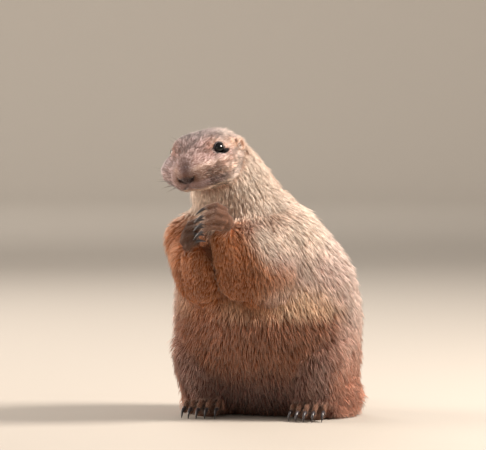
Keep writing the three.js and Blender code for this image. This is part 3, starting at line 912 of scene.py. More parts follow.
def whole_skin():
    """One closed skin from copies of the nodes of flesh, grown over the gaps between them."""
    filled = [filled_creases(side) for side in SIDES]
    skin = merged_copy("skin", FLESH)
    apply_modifier(skin, "DISPLACE", strength=GROWTH_MM * MM, mid_level=0.0)
    merge(skin, filled)
    for side in SIDES:
        bpy.ops.mesh.primitive_uv_sphere_add(
            segments=32, ring_count=16, radius=(EYE_RADIUS_MM - 0.2) * MM, location=centre(f"eye_{side}")
        )
        merge(skin, [bpy.context.object])
    apply_modifier(skin, "REMESH", mode="VOXEL", voxel_size=VOXEL_MM * MM)
    return skin


def describe(mesh, softening=5):
    """The skin's places with its masks, which blend over a few edges."""
    points, edges = read(mesh), edge_rows(mesh)
    return Body(points, read(mesh, "normal"), spread(owner_masks(points), edges, softening), edges)


def smooth_skin(skin):
    """Rounds off the facets, most on the trunk and least on the face and paws."""
    body = describe(skin.data, 6)
    fine = np.clip(body.of("head") * ease(-14, 0, body.head_mm[:, 1]) + body.ears + body.forepaws
                   + body.feet, 0, 1)
    wide = spread(np.clip(1 - fine - 0.35 * body.forearms, 0, 1), body.edges, 8)
    apply_modifier(skin, "SMOOTH", factor=0.5, iterations=7)
    group = weigh(skin, "wide", wide)
    apply_modifier(skin, "SMOOTH", factor=0.5, iterations=160, vertex_group=group)
    face = weigh(skin, "face", body.of("head") * (1 - wide))
    apply_modifier(skin, "SMOOTH", factor=0.5, iterations=14, vertex_group=face)
    apply_modifier(skin, "DECIMATE", ratio=SKIN_SHARE, vertex_group=group, vertex_group_factor=6.0)


def sink_skin(skin, body):
    """Moves the skin inwards by the depth of the coat."""
    depth = spread(coat_depth(body), body.edges, 6)
    normals = unit(spread(body.normals, body.edges, 6))
    moved = body.points - normals * depth[:, None]
    # The soles stay on the floor
    resting = body.feet * ease(2.5 * MM, 0.8 * MM, body.points[:, 2])
    moved[:, 2] = np.maximum(moved[:, 2] + (body.points[:, 2] - moved[:, 2]) * resting, 0.1 * MM)
    write(skin.data, moved)


# Swellings and hollows of the face: height, place and radii, in millimetres
FACE_FORMS = (
    (0.5, (5.2, 26.6, -11.2), (2.4, 3, 1.3)),
    (0.5, (0, 27.6, -13.0), (2.0, 3, 2.4)),
    (-0.7, NOSTRIL_HOLE_MM, (1.8, 4, 1.6)),
    (-0.7, (0, 26, -18.2), (0.8, 4, 2.4)),
    (0.6, (7.5, 19, -16), (4.5, 6, 4)),
    (0.5, (18, -1, 5.4), (4.5, 7, 2.2)),
    (-0.5, (25, 1, -7.6), (5, 8, 1.0)),
)


def sculpt_skin(skin, body):
    """Nostrils, lips, the forms of the face, the folds of the limbs and the sockets of the eyes."""
    h = body.face_mm
    nostrils, lips = line_distance(h, NOSTRIL_MM), line_distance(h, MOUTH_MM)
    push = -1.7 * np.exp(-((nostrils / 0.85) ** 2)) - 1.3 * np.exp(-((lips / 0.75) ** 2))
    push += 0.55 * np.exp(-(((lips - 2.2) / 1.4) ** 2))
    for height, place_mm, radii in FACE_FORMS:
        push += height * spot(h, place_mm, radii)
    fold = 2.2 * 4 * body.thighs * body.trunk * body.front
    fold += 1.5 * in_gaps(body, 1.6, 0.2) + 2.0 * between_arms(body)
    points = body.points + body.normals * ((push * body.of("head") - fold) * MM)[:, None]
    for side in SIDES:
        out, far, turn = round_eye(points, side)
        # Under the lids the skin lies inside the eyeball, and from their edge it slopes up to the face
        lowest = EYE_RADIUS_MM - 0.9 + 1.1 * ease(48, 62, turn)
        wanted = np.clip(far, lowest, lowest + 0.14 * np.clip(turn - 61, 0, None))
        chosen = (far < EYE_RADIUS_MM + 3) & (turn < 82)
        places = np.array(centre(f"eye_{side}")) + out * (wanted / far * MM)[:, None]
        points[chosen] = places[chosen]
    write(skin.data, points)


class OBJECT_OT_prairie_dog_skin(Operator):
    """Build the skin that lies under the coat"""

    bl_idname = "object.prairie_dog_skin"
    bl_label = "Skin"

    def execute(self, context):
        skin = whole_skin()
        smooth_skin(skin)
        body = describe(skin.data)
        sink_skin(skin, body)
        sculpt_skin(skin, body.as_now(skin.data))
        apply_modifier(skin, "TRIANGULATE")
        choose(skin)
        bpy.ops.object.shade_smooth()
        body = body.as_now(skin.data)
        store(skin.data, "marking_and_shade", markings_and_shade(body), colour=True)
        store(skin.data, "bare", bareness(body))
        skin.vertex_groups.clear()
        finish_piece(skin, furred_skin(), FLESH)
        return {"FINISHED"}


# Eyes

LID_STEPS, CORNEA_RISE_MM = 64, 0.35
LID_OPENING_MM = (4.5, 4.6)
# Each corner of the lid's section: its radius beyond the eyeball, in millimetres, and its turn from the
# opening's edge, as a share of the opening
LID_PROFILE = (
    (-0.5, 1.0), (0.08, 0.99), (0.34, 1.0), (0.5, 1.04), (0.55, 1.1), (0.5, 1.18), (0.2, 1.26), (-0.5, 1.3),
    (-0.9, 1.2), (-0.9, 1.08),
)


def eye_basis(side):
    way = eye_way(side)
    up = turn_from_head((0, 0, 1))
    across = unit(np.cross(up, way))
    return across, np.cross(way, across), way


def add_eyeball(side):
    """An eyeball with a cornea that bulges a little."""
    bpy.ops.mesh.primitive_uv_sphere_add(
        segments=64, ring_count=40, radius=EYE_RADIUS_MM * MM, location=(0, 0, 0)
    )
    eye = bpy.context.object
    eye.name = eye.data.name = f"eyeball_{side}"
    points = read(eye.data)
    way = eye_way(side)
    share = points @ way / (EYE_RADIUS_MM * MM)
    points += way * (CORNEA_RISE_MM * MM * ease(0.55, 1, share))[:, None]
    store(eye.data, "off_axis", np.arccos(np.clip(share, -1, 1)) / math.pi)
    write(eye.data, points + np.array(centre(f"eye_{side}")))
    choose(eye)
    bpy.ops.object.shade_smooth()
    return eye


def add_lids(side):
    """A torus shaped into the two lids: an almond opening that hugs the eyeball."""
    bpy.ops.mesh.primitive_torus_add(
        major_segments=LID_STEPS, minor_segments=len(LID_PROFILE), major_radius=1.0, minor_radius=0.3,
        location=(0, 0, 0),
    )
    lids = bpy.context.object
    lids.name = lids.data.name = f"eyelids_{side}"
    across, over, way = eye_basis(side)
    forward = np.sign(across @ turn_from_head((0, 1, 0)))
    points = []
    for i in range(LID_STEPS):
        turn = 2 * math.pi * i / LID_STEPS
        wide = LID_OPENING_MM[0] * math.cos(turn) * (1 + 0.16 * abs(math.cos(turn)) ** 6)
        high = LID_OPENING_MM[1] * math.sin(turn) * (1 - 0.1 * math.cos(turn) ** 2)
        high -= 0.5 * forward * math.cos(turn)
        reach = math.hypot(wide, high)
        sideways = (across * wide + over * high) / reach
        for beyond, share in LID_PROFILE:
            angle = math.asin(min(reach / EYE_RADIUS_MM, 0.98)) * share
            point = way * math.cos(angle) + sideways * math.sin(angle)
            points.append(point * (EYE_RADIUS_MM + beyond) * MM)
    write(lids.data, np.array(points) + np.array(centre(f"eye_{side}")))
    edit(lids, (bpy.ops.mesh.normals_make_consistent, {"inside": False}))
    apply_modifier(lids, "SUBSURF", levels=1, render_levels=1)
    bpy.ops.object.shade_smooth()
    return lids


class OBJECT_OT_prairie_dog_eyes(Operator):
    """Build the eyeballs and their lids"""

    bl_idname = "object.prairie_dog_eyes"
    bl_label = "Eyes"

    def execute(self, context):
        cornea, lid = wet_cornea(), lid_skin()
        for side in SIDES:
            finish_piece(add_eyeball(side), cornea, [f"eye_{side}"])
            finish_piece(add_lids(side), lid)
        return {"FINISHED"}


# Claws

# How far a smooth claw stands out from its solid, and its clearance from the floor and from its box
CLAW_SWELL_MM, CLAW_CLEARANCE_MM, CLAW_MARGIN_MM = 0.12, 0.05, 0.4


def add_claws(name, nodes):
    """Smooth curved claws from the frame's faceted ones."""
    claws = merged_copy(name, nodes)
    claws.name = claws.data.name = name
    apply_modifier(claws, "DISPLACE", strength=CLAW_SWELL_MM * MM, mid_level=0.0)
    apply_modifier(claws, "SUBSURF", levels=2, render_levels=2)
    bpy.ops.object.shade_smooth()
    points = read(claws.data)
    points[:, 2] = np.maximum(points[:, 2], CLAW_CLEARANCE_MM * MM)
    write(claws.data, points)
    along, margin = np.zeros(len(points)), CLAW_MARGIN_MM * MM
    for node in nodes:
        low, high = (np.array(corner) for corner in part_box(node))
        inside = ((points > low - margin) & (points < high + margin)).all(axis=1)
        run = (points[inside] - low) @ unit(high - low) / np.linalg.norm(high - low)
        along[inside] = np.clip(run, 0, 1)
    store(claws.data, "along", along)
    return claws


class OBJECT_OT_prairie_dog_claws(Operator):
    """Build the claws of the fingers and toes"""

    bl_idname = "object.prairie_dog_claws"
    bl_label = "Claws"

    def execute(self, context):
        keratin = claw_keratin()
        for name, nodes in (("finger_claws", FINGER_CLAWS), ("toe_claws", TOE_CLAWS)):
            finish_piece(add_claws(name, nodes), keratin, nodes)
        return {"FINISHED"}


# Coat

# Each coat piece: its tufts for each square millimetre, the name of a slot, and whether a tuft bends at its
# middle
COAT_PIECES = {
    "coat_back": (1.15, "back", True),
    "coat_flank_left": (1.25, "back", True),
    "coat_flank_right": (1.15, "back", True),
    "coat_belly": (1.35, "belly", True),
    "coat_thigh_left": (1.15, "back", True),
    "coat_thigh_right": (1.15, "back", True),
    "coat_neck": (2.1, "back", True),
    "coat_arms": (1.5, "belly", True),
    "coat_head": (3.6, "face", False),
    "coat_forepaws": (3.4, "paw", False),
    "coat_feet": (3.0, "paw", False),
    "coat_tail": (1.5, "tail_tip", True),
}
# Width of a tuft's patch on the unwrap, faces of the light skin, and the most triangles in one piece
PATCH, LIGHT_FACES, MOST_TRIANGLES = 0.003, 16000, 196000
SEAM_ANGLE, ISLAND_MARGIN = math.radians(66), 0.004
# Guard hairs are long, lie on top and are pale, and a few of them stray. The rest is underfur.
GUARD_SHARE, STRAY_SHARE = 0.3, 0.12
# Rings and triangles of a straight tuft and of a bent one
RINGS = (1, 2)
TUFT_TRIANGLES = (4, 10)
# Share of the tufts that lead a lock, of straight tufts and of bent ones
LOCK_SHARE = (0.05, 0.055)
# How much further the coat stands out where it meets the floor
SPRAY = 0.5
# The nodes of the coat pieces that aren't parts of the trunk
COAT_NODES = {
    "coat_neck": ("neck",),
    "coat_head": ("head", *GROUPS["ears"]),
    "coat_arms": GROUPS["upper_arms"] + GROUPS["forearms"],
    "coat_forepaws": GROUPS["forepaws"],
    "coat_thigh_left": ("thigh_left",),
    "coat_thigh_right": ("thigh_right",),
    "coat_feet": GROUPS["feet"],
    "coat_tail": GROUPS["tails"],
}
# Degrees from an eye's axis that the coat keeps clear, and how many more before the eye
LID_TURN, LID_TURN_BEFORE = 54, 12
# How far the belly's and the flanks' pieces reach round the trunk, in degrees from straight ahead
BELLY_TURN, FLANK_TURN = 48, 130


def coat_piece_of(body):
    """For each place, the number of the coat piece it belongs to."""
    names = list(COAT_PIECES)
    node = np.array(FLESH)[body.masks.argmax(axis=1)]
    x, y, _ = body.mm.T
    turn = np.abs(np.degrees(np.arctan2(x, -y)))
    piece = np.full(len(node), names.index("coat_back"))
    trunk = np.isin(node, GROUPS["trunk"])
    piece[trunk & (turn < FLANK_TURN)] = names.index("coat_flank_left")
    piece[trunk & (turn < FLANK_TURN) & (x < 0)] = names.index("coat_flank_right")
    piece[trunk & (turn < BELLY_TURN)] = names.index("coat_belly")
    for name, nodes in COAT_NODES.items():
        piece[np.isin(node, nodes)] = names.index(name)
    return piece


def hair_length(body):
    """Length of a tuft at each place, in metres."""
    c = coat()
    _, y, up = body.face_mm.T
    trunk = c.trunk_hair + (c.belly_hair - c.trunk_hair) * ease(0.35, 0.85, body.facing)
    thigh = trunk * (0.62 + 0.38 * ease(20, 50, body.mm[:, 2]))
    head = c.face_hair * (0.5 + 0.5 * ease(24, 6, y)) + 2.5 * MM * ease(0, -26, y)
    head = (head + 2 * MM * ease(-14, -24, up) * ease(14, 4, y)) * (1 - 0.8 * near_eye(body, 9))
    return (
        trunk * body.trunk + 0.7 * c.trunk_hair * body.of("neck") + thigh * body.thighs
        + c.arm_hair * (body.upper_arms + 0.62 * body.forearms)
        + c.paw_hair * (body.forepaws + body.feet + 1.2 * body.ears)
        + c.tail_hair * (body.of("tail") + 1.1 * body.of("tail_tip")) + head * body.of("head")
    )


class LightSkin:
    """A light copy of the skin, as arrays, with the coat piece that each of its triangles belongs to."""

    def __init__(self, skin):
        obj = add_object("light_skin", skin.data.copy())
        apply_modifier(obj, "DECIMATE", ratio=LIGHT_FACES / len(obj.data.polygons))
        self.points, self.rows = read(obj.data), corners(obj.data)
        self.piece = coat_piece_of(describe(obj.data, 0))[self.rows]
        bpy.data.objects.remove(obj)


class Unwrap:
    """One piece's part of the light skin laid flat, for the places of the tufts' patches."""

    def __init__(self, light, index):
        rows = light.rows[(light.piece == index).any(axis=1)]
        used, rows = np.unique(rows, return_inverse=True)
        rows = rows.reshape(-1, 3)
        points = light.points[used]
        mesh = bpy.data.meshes.new("unwrap")
        mesh.from_pydata(points.tolist(), [], rows.tolist())
        self.obj = add_object("unwrap", mesh)
        settings = {"angle_limit": SEAM_ANGLE, "island_margin": ISLAND_MARGIN}
        edit(self.obj, (bpy.ops.uv.smart_project, settings))
        uv = np.empty(len(mesh.loops) * 2)
        mesh.uv_layers[0].data.foreach_get("uv", uv)
        self.uv = uv.reshape(-1, 3, 2)
        self.points = points[rows]
        self.tree = BVHTree.FromPolygons(points.tolist(), rows.tolist())

    def places(self, roots):
        """Where each root lies on the unwrap, by its shares of the nearest triangle."""
        found = [self.tree.find_nearest(root) for root in roots.tolist()]
        near = np.array([place for place, _, _, _ in found])
        face = np.array([index for _, _, index, _ in found])
        a, b, c = (self.points[face, i] for i in range(3))
        ab, ac, ap = b - a, c - a, near - a
        d11, d12, d22 = (ab * ab).sum(1), (ab * ac).sum(1), (ac * ac).sum(1)
        d1, d2 = (ap * ab).sum(1), (ap * ac).sum(1)
        scale = np.maximum(d11 * d22 - d12 * d12, 1e-20)
        v = (d22 * d1 - d12 * d2) / scale
        w = (d11 * d2 - d12 * d1) / scale
        share = np.column_stack([1 - v - w, v, w])[:, :, None]
        return (self.uv[face] * share).sum(axis=1)

    def remove(self):
        bpy.data.objects.remove(self.obj)


def draw_roots(area, density, random):
    """Spreads roots over triangles, evenly by their area, and gives each its face and its shares."""
    weight = area * density
    count = int(weight.sum())
    steps = (np.arange(count) + random.random(count)) / count * weight.sum()
    face = np.minimum(np.searchsorted(np.cumsum(weight), steps), len(weight) - 1)
    r1, r2 = np.sqrt(random.random(count)), random.random(count)
    share = np.column_stack([1 - r1, r1 * (1 - r2), r1 * r2])
    return face, share


# A tuft is a three-sided wedge. Its corners at each ring are its right side, its left side and its ridge.
RING = 3
# How deep a tuft is rooted, and its width at the root as a share of its full width
ROOT_DEPTH_MM, ROOT_WIDTH = 0.35, 0.75


def tuft_faces(rings):
    """Faces of one tuft, each a list of corners, with the side that lies on the skin first."""
    tip = RING * rings
    faces = [[0, 2, 1]]
    for start, end in ((1, 0), (0, 2), (2, 1)):
        for ring in range(rings - 1):
            low, high = RING * ring, RING * (ring + 1)
            faces.append([end + low, start + low, start + high, end + high])
        last = RING * (rings - 1)
        faces.append([end + last, start + last, tip])
    return faces


def tuft_patch(faces, rings):
    """Where each corner of each face lies in the tuft's patch, from 0 to 1 both ways."""
    spans_of = {(0, 1): (0.0, 1.0), (0, 2): (0.0, 0.5), (1, 2): (1.0, 0.5)}
    patch = [(0.0, 0.0), (0.0, 0.5), (-0.2, 0.25)]
    for face in faces[1:]:
        sides = sorted({corner % RING for corner in face if corner < RING * rings})
        spans = spans_of[tuple(sides)]
        for corner in face:
            if corner == RING * rings:
                patch.append((1.0, sum(spans) / 2))
            else:
                patch.append(((corner // RING) / rings, spans[sides.index(corner % RING)]))
    return np.array(patch)


def build_tufts(name, tufts, rings):
    """One mesh of closed tufts from arrays with a row for each tuft."""
    roots, normals, flow = tufts["roots"], tufts["normals"], tufts["flow"]
    length, height, width = (tufts[key][:, None] for key in ("length", "height", "width"))
    count = len(roots)
    side = np.cross(normals, flow)
    shares = [0.0, 0.5][:rings]
    each = RING * rings + 1
    corners_of = np.empty((count, each, 3))
    for ring, share in enumerate(shares):
        rise = height * (1 - (1 - share) ** 2) - (1 - share) * ROOT_DEPTH_MM * MM
        middle = roots + flow * length * share + normals * rise
        half = width * (ROOT_WIDTH if ring == 0 else 1.0) / 2
        corners_of[:, RING * ring] = middle - side * half
        corners_of[:, RING * ring + 1] = middle + side * half
        corners_of[:, RING * ring + 2] = middle + normals * half
    corners_of[:, -1] = roots + flow * length + normals * height
    corners_of[:, :, 2] = np.maximum(corners_of[:, :, 2], 0.15 * MM)
    faces = tuft_faces(rings)
    sizes = np.tile([len(face) for face in faces], count)
    loops = (np.arange(count)[:, None] * each + np.concatenate(faces)).ravel()
    mesh = bpy.data.meshes.new(name)
    mesh.vertices.add(count * each)
    mesh.vertices.foreach_set("co", corners_of.ravel())
    mesh.loops.add(len(loops))
    mesh.loops.foreach_set("vertex_index", loops.astype(np.int32))
    mesh.polygons.add(len(sizes))
    mesh.polygons.foreach_set("loop_start", (np.cumsum(sizes) - sizes).astype(np.int32))
    mesh.update(calc_edges=True)
    layer = mesh.uv_layers.new(name="OFBake")
    patch = (tuft_patch(faces, rings) - 0.5) * PATCH
    layer.data.foreach_set("uv", (tufts["uv"][:, None, :] + patch).astype(np.float32).ravel())
    store(mesh, "along", np.tile(np.append(np.repeat(shares, RING), 1.0), count))
    store(mesh, "marking_and_shade", np.repeat(tufts["tone"], each, axis=0), colour=True)
    store(mesh, "shade", np.repeat(tufts["shade"], each))
    obj = add_object(name, mesh)
    choose(obj)
    bpy.ops.object.shade_smooth()
    return obj


def lock_leaders(tips, random, share):
    """For each tuft, the leading tuft of the lock that it belongs to."""
    leads = np.flatnonzero(random.random(len(tips)) < share)
    tree = KDTree(len(leads))
    for lead in leads:
        tree.insert(tips[lead], int(lead))
    tree.balance()
    return np.array([tree.find(tip)[1] for tip in tips.tolist()])


def drawn_tufts(roots, values, random, bent):
    """The shape, lie and tone of each tuft, by its root and by the fields of the skin at its root."""
    length, depth = values[:, :2].T
    tone, normals = values[:, 4:8], unit(values[:, 8:11])
    flow = on_surface(values[:, 11:14], normals)
    count = len(roots)
    guard = random.random(count) < GUARD_SHARE
    stray = guard & (random.random(count) < STRAY_SHARE)
    length = length * np.where(guard, random.uniform(1.05, 1.45, count), random.uniform(0.6, 0.95, count))
    height = depth * np.where(guard, random.uniform(0.9, 1.15, count), random.uniform(0.3, 0.72, count))
    spray = 1 + SPRAY * ease(34 * MM, 4 * MM, roots[:, 2]) if bent else 1.0
    height = height * np.where(stray, 1.45, 1.0) * spray
    turn = random.normal(0, 0.12, count)
    side = np.cross(normals, flow)
    flow = flow * np.cos(turn)[:, None] + side * np.sin(turn)[:, None]
    tips = roots + flow * length[:, None]
    leads = lock_leaders(tips, random, LOCK_SHARE[bent])
    own = np.where(guard, random.uniform(0.45, 1.0, count), random.uniform(0.0, 0.7, count))
    shade = 0.4 * own + 0.6 * random.random(count)[leads]
    if bent:
        pull = random.uniform(0.05, 0.45, count)
        way = tips + (tips[leads] - tips) * pull[:, None] - roots
        flow = on_surface(way, normals)
        length = np.clip(np.linalg.norm(way, axis=1), 0.5 * length, 1.25 * length)
    width = coat().lock_width * np.clip(length / coat().trunk_hair, 0.7, 1.0)
    width = width * random.uniform(0.8, 1.2, count)
    return {
        "roots": roots, "normals": normals, "flow": flow, "length": length, "height": height,
        "width": width, "tone": tone, "shade": shade,
    }


class OBJECT_OT_prairie_dog_coat(Operator):
    """Build the coat of tufts over the skin"""

    bl_idname = "object.prairie_dog_coat"
    bl_label = "Coat"

    def execute(self, context):
        skin = bpy.data.objects["skin"]
        body = describe(skin.data)
        rows = corners(skin.data)
        flow = on_surface(coat_flow(body), body.normals)
        for _ in range(4):
            flow = on_surface(spread(flow, body.edges, 20), body.normals)
        fields = np.column_stack([
            hair_length(body), coat_depth(body), spread(bareness(body), body.edges, 2),
            eye_clearance(body), recall_colour(skin.data, "marking_and_shade"), body.normals, flow,
        ])
        piece = coat_piece_of(body)[rows]
        piece = np.where(piece[:, 1] == piece[:, 2], piece[:, 1], piece[:, 0])
        spans = body.points[rows]
        area = np.linalg.norm(np.cross(spans[:, 1] - spans[:, 0], spans[:, 2] - spans[:, 0]), axis=1) / 2
        keratin = hair_keratin()
        light = LightSkin(skin)
        fullness = coat().fullness * 1.0
        for index, (name, (density, slot, bent)) in enumerate(COAT_PIECES.items()):
            random = np.random.default_rng(coat().seed + index)
            mine = np.flatnonzero(piece == index)
            per_metre = density / MM ** 2 * fullness
            expected = area[mine].sum() * per_metre * TUFT_TRIANGLES[bent]
            per_metre *= min(1.0, MOST_TRIANGLES / expected)
            face, share = draw_roots(area[mine], per_metre, random)
            at = rows[mine][face]
            roots = (body.points[at] * share[:, :, None]).sum(axis=1)
            values = (fields[at] * share[:, :, None]).sum(axis=1)
            keep = (values[:, 2] < 0.5) & (values[:, 3] > 0.5)
            tufts = drawn_tufts(roots[keep], values[keep], random, bent)
            unwrap = Unwrap(light, index)
            tufts["uv"] = unwrap.places(tufts["roots"])
            unwrap.remove()
            finish_piece(build_tufts(name, tufts, RINGS[bent]), keratin)
        return {"FINISHED"}


def eye_clearance(body):
    """0 over the eyes and lids, and further out before them, as the hair lies backwards; 1 elsewhere."""
    before = ease(-1, 5, body.face_mm[:, 1] - EYE_MM[1])
    return (turn_from_eyes(body.points) > LID_TURN + LID_TURN_BEFORE * before).astype(float)


# Whiskers

# Rows of whiskers on the pad: height in the head, first and last place forwards, and number
WHISKER_ROWS = (
    (-13.2, 22.5, 14.5, 4), (-15.4, 23.0, 13.5, 5), (-17.6, 22.5, 13.0, 5), (-19.6, 20.5, 13.5, 3),
)
BROW_WHISKERS_MM = ((13, 3.5, 7), (12, 1, 8), (25, -3, -13), (26, -5.5, -12.5))
WHISKER_SIDES, WHISKER_STEPS = 5, 9


def whisker_runs(random):
    """Place, direction, length and root thickness of each whisker, in metres."""
    runs = []
    for side in SIDES.values():
        for height, front, back, count in WHISKER_ROWS:
            for i in range(count):
                y = front + (back - front) * i / max(count - 1, 1)
                way = (1.0 * side, -0.35 - 0.06 * i, 0.12 * (height + 17))
                length = (13 + 3.2 * i + random.uniform(-1.5, 1.5)) * MM
                runs.append(((13 * side, y, height), way, length, 0.13 * MM))
        for x, y, z in BROW_WHISKERS_MM:
            way = (0.8 * side, -0.5, 0.5 if z > 0 else -0.4)
            runs.append(((x * side, y, z), way, 13 * MM, 0.1 * MM))
    return runs


def tube_faces(start, steps, sides):
    """Faces of a closed tapered tube of rings of corners, which ends in a tip."""
    def corner(step, i):
        return start + step * sides + i % sides

    tip = start + steps * sides
    faces = [[corner(0, i) for i in reversed(range(sides))]]
    for i in range(sides):
        for step in range(steps - 1):
            faces.append([
                corner(step, i), corner(step, i + 1), corner(step + 1, i + 1), corner(step + 1, i),
            ])
        faces.append([corner(steps - 1, i), corner(steps - 1, i + 1), tip])
    return faces


def add_whiskers(skin):
    """Tapered, drooping single hairs as one mesh."""
    random = np.random.default_rng(coat().seed + 50)
    tree = BVHTree.FromPolygons(read(skin.data).tolist(), corners(skin.data).tolist())
    points, faces, along = [], [], []
    for at, way, length, thick in whisker_runs(random):
        root = np.array(tree.find_nearest(Vector(from_head(at)))[0])
        way = unit(turn_from_head(way))
        side = unit(np.cross(way, (0, 0, 1)))
        over = np.cross(side, way)
        droop = np.array((0, 0, length * random.uniform(0.1, 0.22)))
        faces += tube_faces(len(points), WHISKER_STEPS, WHISKER_SIDES)
        for step in range(WHISKER_STEPS):
            share = step / WHISKER_STEPS
            middle = root + way * length * (share - 0.04) - droop * share ** 2
            girth = thick * (1 - share) ** 0.8
            for i in range(WHISKER_SIDES):
                turn = 2 * math.pi * i / WHISKER_SIDES
                points.append(middle + (side * math.cos(turn) + over * math.sin(turn)) * girth)
                along.append(share)
        points.append(root + way * length * 0.96 - droop)
        along.append(1.0)
    mesh = bpy.data.meshes.new("whiskers")
    mesh.from_pydata([tuple(point) for point in points], [], faces)
    store(mesh, "along", along)
    obj = add_object("whiskers", mesh)
    edit(obj, (bpy.ops.mesh.normals_make_consistent, {"inside": False}))
    bpy.ops.object.shade_smooth()
    return obj


class OBJECT_OT_prairie_dog_whiskers(Operator):
    """Build the whiskers of the muzzle and brows"""

    bl_idname = "object.prairie_dog_whiskers"
    bl_label = "Whiskers"

    def execute(self, context):
        finish_piece(add_whiskers(bpy.data.objects["skin"]), whisker_keratin())
        return {"FINISHED"}


# Stage

IMAGE_SIZE = (486, 450)
# Where the middle of the hips on the floor stands in the picture
HIPS_PIXEL = (269.2, 414.0)
HIPS_MM = (-0.3, -7.8, 0.0)
SENSOR_MM = 36.0
# Each light: azimuth, elevation, distance, size, power and colour
LIGHTS = {
    "key": (98, 38, 1.5, 0.5, 41, "#fff5ea"),
    "front_fill": (5, 22, 1.9, 0.9, 1.5, "#fff0e2"),
    "left_bounce": (-84, 14, 1.9, 1.2, 38, "#fff1e4"),
    "back_rim": (215, 38, 1.6, 0.9, 8, "#fffaf5"),
}
# Lights that wash the wall of the backdrop, all round: distance from the middle, height and power
WASHES, WASH_DISTANCE, WASH_HEIGHT, WASH_POWER = 6, 2.6, 1.7, 22
WASH_SIZE, WASH_COLOUR = 1.4, "#fff8f0"
WORLD_COLOUR, WORLD_STRENGTH = "#efeae4", 0.42
# The height that the lights aim at
AIM_HEIGHT = 0.11
FLOOR_RADIUS, WALL_HEIGHT, WALL_BEND = 4.6, 1.6, 0.9


def outwards(azimuth, elevation):
    return Vector((
        math.sin(azimuth) * math.cos(elevation), -math.cos(azimuth) * math.cos(elevation),
        math.sin(elevation),
    ))


def add_camera():
    settings = stage()
    width, height = IMAGE_SIZE
    back = outwards(settings.azimuth, settings.elevation)
    turn = (-back).to_track_quat("-Z", "Y")
    right, up = turn @ Vector((1, 0, 0)), turn @ Vector((0, 1, 0))
    pixel = settings.image_width / width
    aside = (HIPS_PIXEL[0] - width / 2) * pixel
    below = (HIPS_PIXEL[1] - height / 2) * pixel
    target = Vector(HIPS_MM) * MM - right * aside + up * below
    bpy.ops.object.camera_add(location=target + back * settings.distance)
    camera = bpy.context.object
    camera.name = "camera"
    camera.rotation_mode = "QUATERNION"
    camera.rotation_quaternion = turn
    camera.data.sensor_width = SENSOR_MM
    camera.data.lens = SENSOR_MM * settings.distance / settings.image_width
    camera.data.clip_end = 30
    bpy.context.scene.camera = camera


def add_lamp(name, place, way, size, power, code):
    bpy.ops.object.light_add(type="AREA", location=place)
    lamp = bpy.context.object
    lamp.name = name
    lamp.rotation_mode = "QUATERNION"
    lamp.rotation_quaternion = way.to_track_quat("-Z", "Y")
    lamp.data.shape = "DISK"
    lamp.data.size = size
    lamp.data.energy = power
    lamp.data.color = linear(code)


def add_lights():
    for name, (azimuth, elevation, distance, size, power, code) in LIGHTS.items():
        back = outwards(math.radians(azimuth), math.radians(elevation))
        add_lamp(name, Vector((0, 0, AIM_HEIGHT)) + back * distance, -back, size, power, code)
    for i in range(WASHES):
        out = outwards(2 * math.pi * (i + 0.5) / WASHES, 0)
        place = out * WASH_DISTANCE + Vector((0, 0, WASH_HEIGHT))
        wall = out * FLOOR_RADIUS + Vector((0, 0, WALL_HEIGHT / 2))
        add_lamp(f"wall_wash_{i}", place, wall - place, WASH_SIZE, WASH_POWER, WASH_COLOUR)
    world = bpy.context.scene.world or bpy.data.worlds.new("studio")
    bpy.context.scene.world = world
    world.use_nodes = True
    background = world.node_tree.nodes["Background"]
    background.inputs["Color"].default_value = coloured(WORLD_COLOUR)
    background.inputs["Strength"].default_value = WORLD_STRENGTH
    bpy.context.scene.view_settings.view_transform = "Standard"


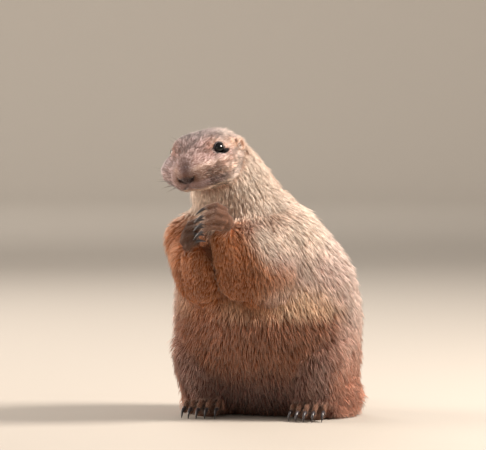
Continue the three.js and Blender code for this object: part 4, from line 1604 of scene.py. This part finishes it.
def add_floor():
    """A round floor that turns up all round in one smooth sweep, beyond the camera."""
    bpy.ops.mesh.primitive_circle_add(
        vertices=96, radius=FLOOR_RADIUS, fill_type="NGON", location=(0, 0, 0)
    )
    floor = bpy.context.object
    floor.name = floor.data.name = "studio_floor"
    edit(
        floor,
        (bpy.ops.mesh.extrude_region_move, {"TRANSFORM_OT_translate": {"value": (0, 0, WALL_HEIGHT)}}),
        (bpy.ops.mesh.delete, {"type": "ONLY_FACE"}),
    )
    apply_modifier(floor, "BEVEL", width=WALL_BEND, segments=12, limit_method="ANGLE")
    bpy.ops.object.shade_smooth()
    floor.data.materials.append(studio_paper())


class OBJECT_OT_prairie_dog_stage(Operator):
    """Set the floor, the lights and the camera"""

    bl_idname = "object.prairie_dog_stage"
    bl_label = "Stage"

    def execute(self, context):
        deselect()
        add_floor()
        add_lights()
        add_camera()
        deselect()
        return {"FINISHED"}


# Panel

OPERATORS = (
    OBJECT_OT_prairie_dog_skin, OBJECT_OT_prairie_dog_eyes, OBJECT_OT_prairie_dog_claws,
    OBJECT_OT_prairie_dog_coat, OBJECT_OT_prairie_dog_whiskers, OBJECT_OT_prairie_dog_stage,
)


class VIEW3D_PT_prairie_dog(Panel):
    """Lists the pieces and their settings"""

    bl_label = "Prairie Dog"
    bl_idname = "VIEW3D_PT_prairie_dog"
    bl_space_type = "VIEW_3D"
    bl_region_type = "UI"
    bl_category = "Prairie Dog"

    def draw(self, context):
        for operator in OPERATORS:
            self.layout.operator(operator.bl_idname)
        for settings in (coat(), colours(), stage()):
            box = self.layout.box()
            for name in settings.__annotations__:
                box.prop(settings, name)


SETTINGS = {
    "prairie_dog_coat": PrairieDogCoat,
    "prairie_dog_colours": PrairieDogColours,
    "prairie_dog_stage": PrairieDogStage,
}
CLASSES = (*SETTINGS.values(), *OPERATORS, VIEW3D_PT_prairie_dog)


def coat():
    return bpy.context.scene.prairie_dog_coat


def colours():
    return bpy.context.scene.prairie_dog_colours


def stage():
    return bpy.context.scene.prairie_dog_stage


def register():
    for cls in CLASSES:
        bpy.utils.register_class(cls)
    for name, group in SETTINGS.items():
        setattr(bpy.types.Scene, name, PointerProperty(type=group))


def unregister():
    for name in SETTINGS:
        delattr(bpy.types.Scene, name)
    for cls in reversed(CLASSES):
        bpy.utils.unregister_class(cls)


def main():
    register()
    bpy.ops.object.prairie_dog_skin()
    bpy.ops.object.prairie_dog_eyes()
    bpy.ops.object.prairie_dog_claws()
    bpy.ops.object.prairie_dog_coat()
    bpy.ops.object.prairie_dog_whiskers()
    bpy.ops.object.prairie_dog_stage()


if __name__ == "__main__":
    main()
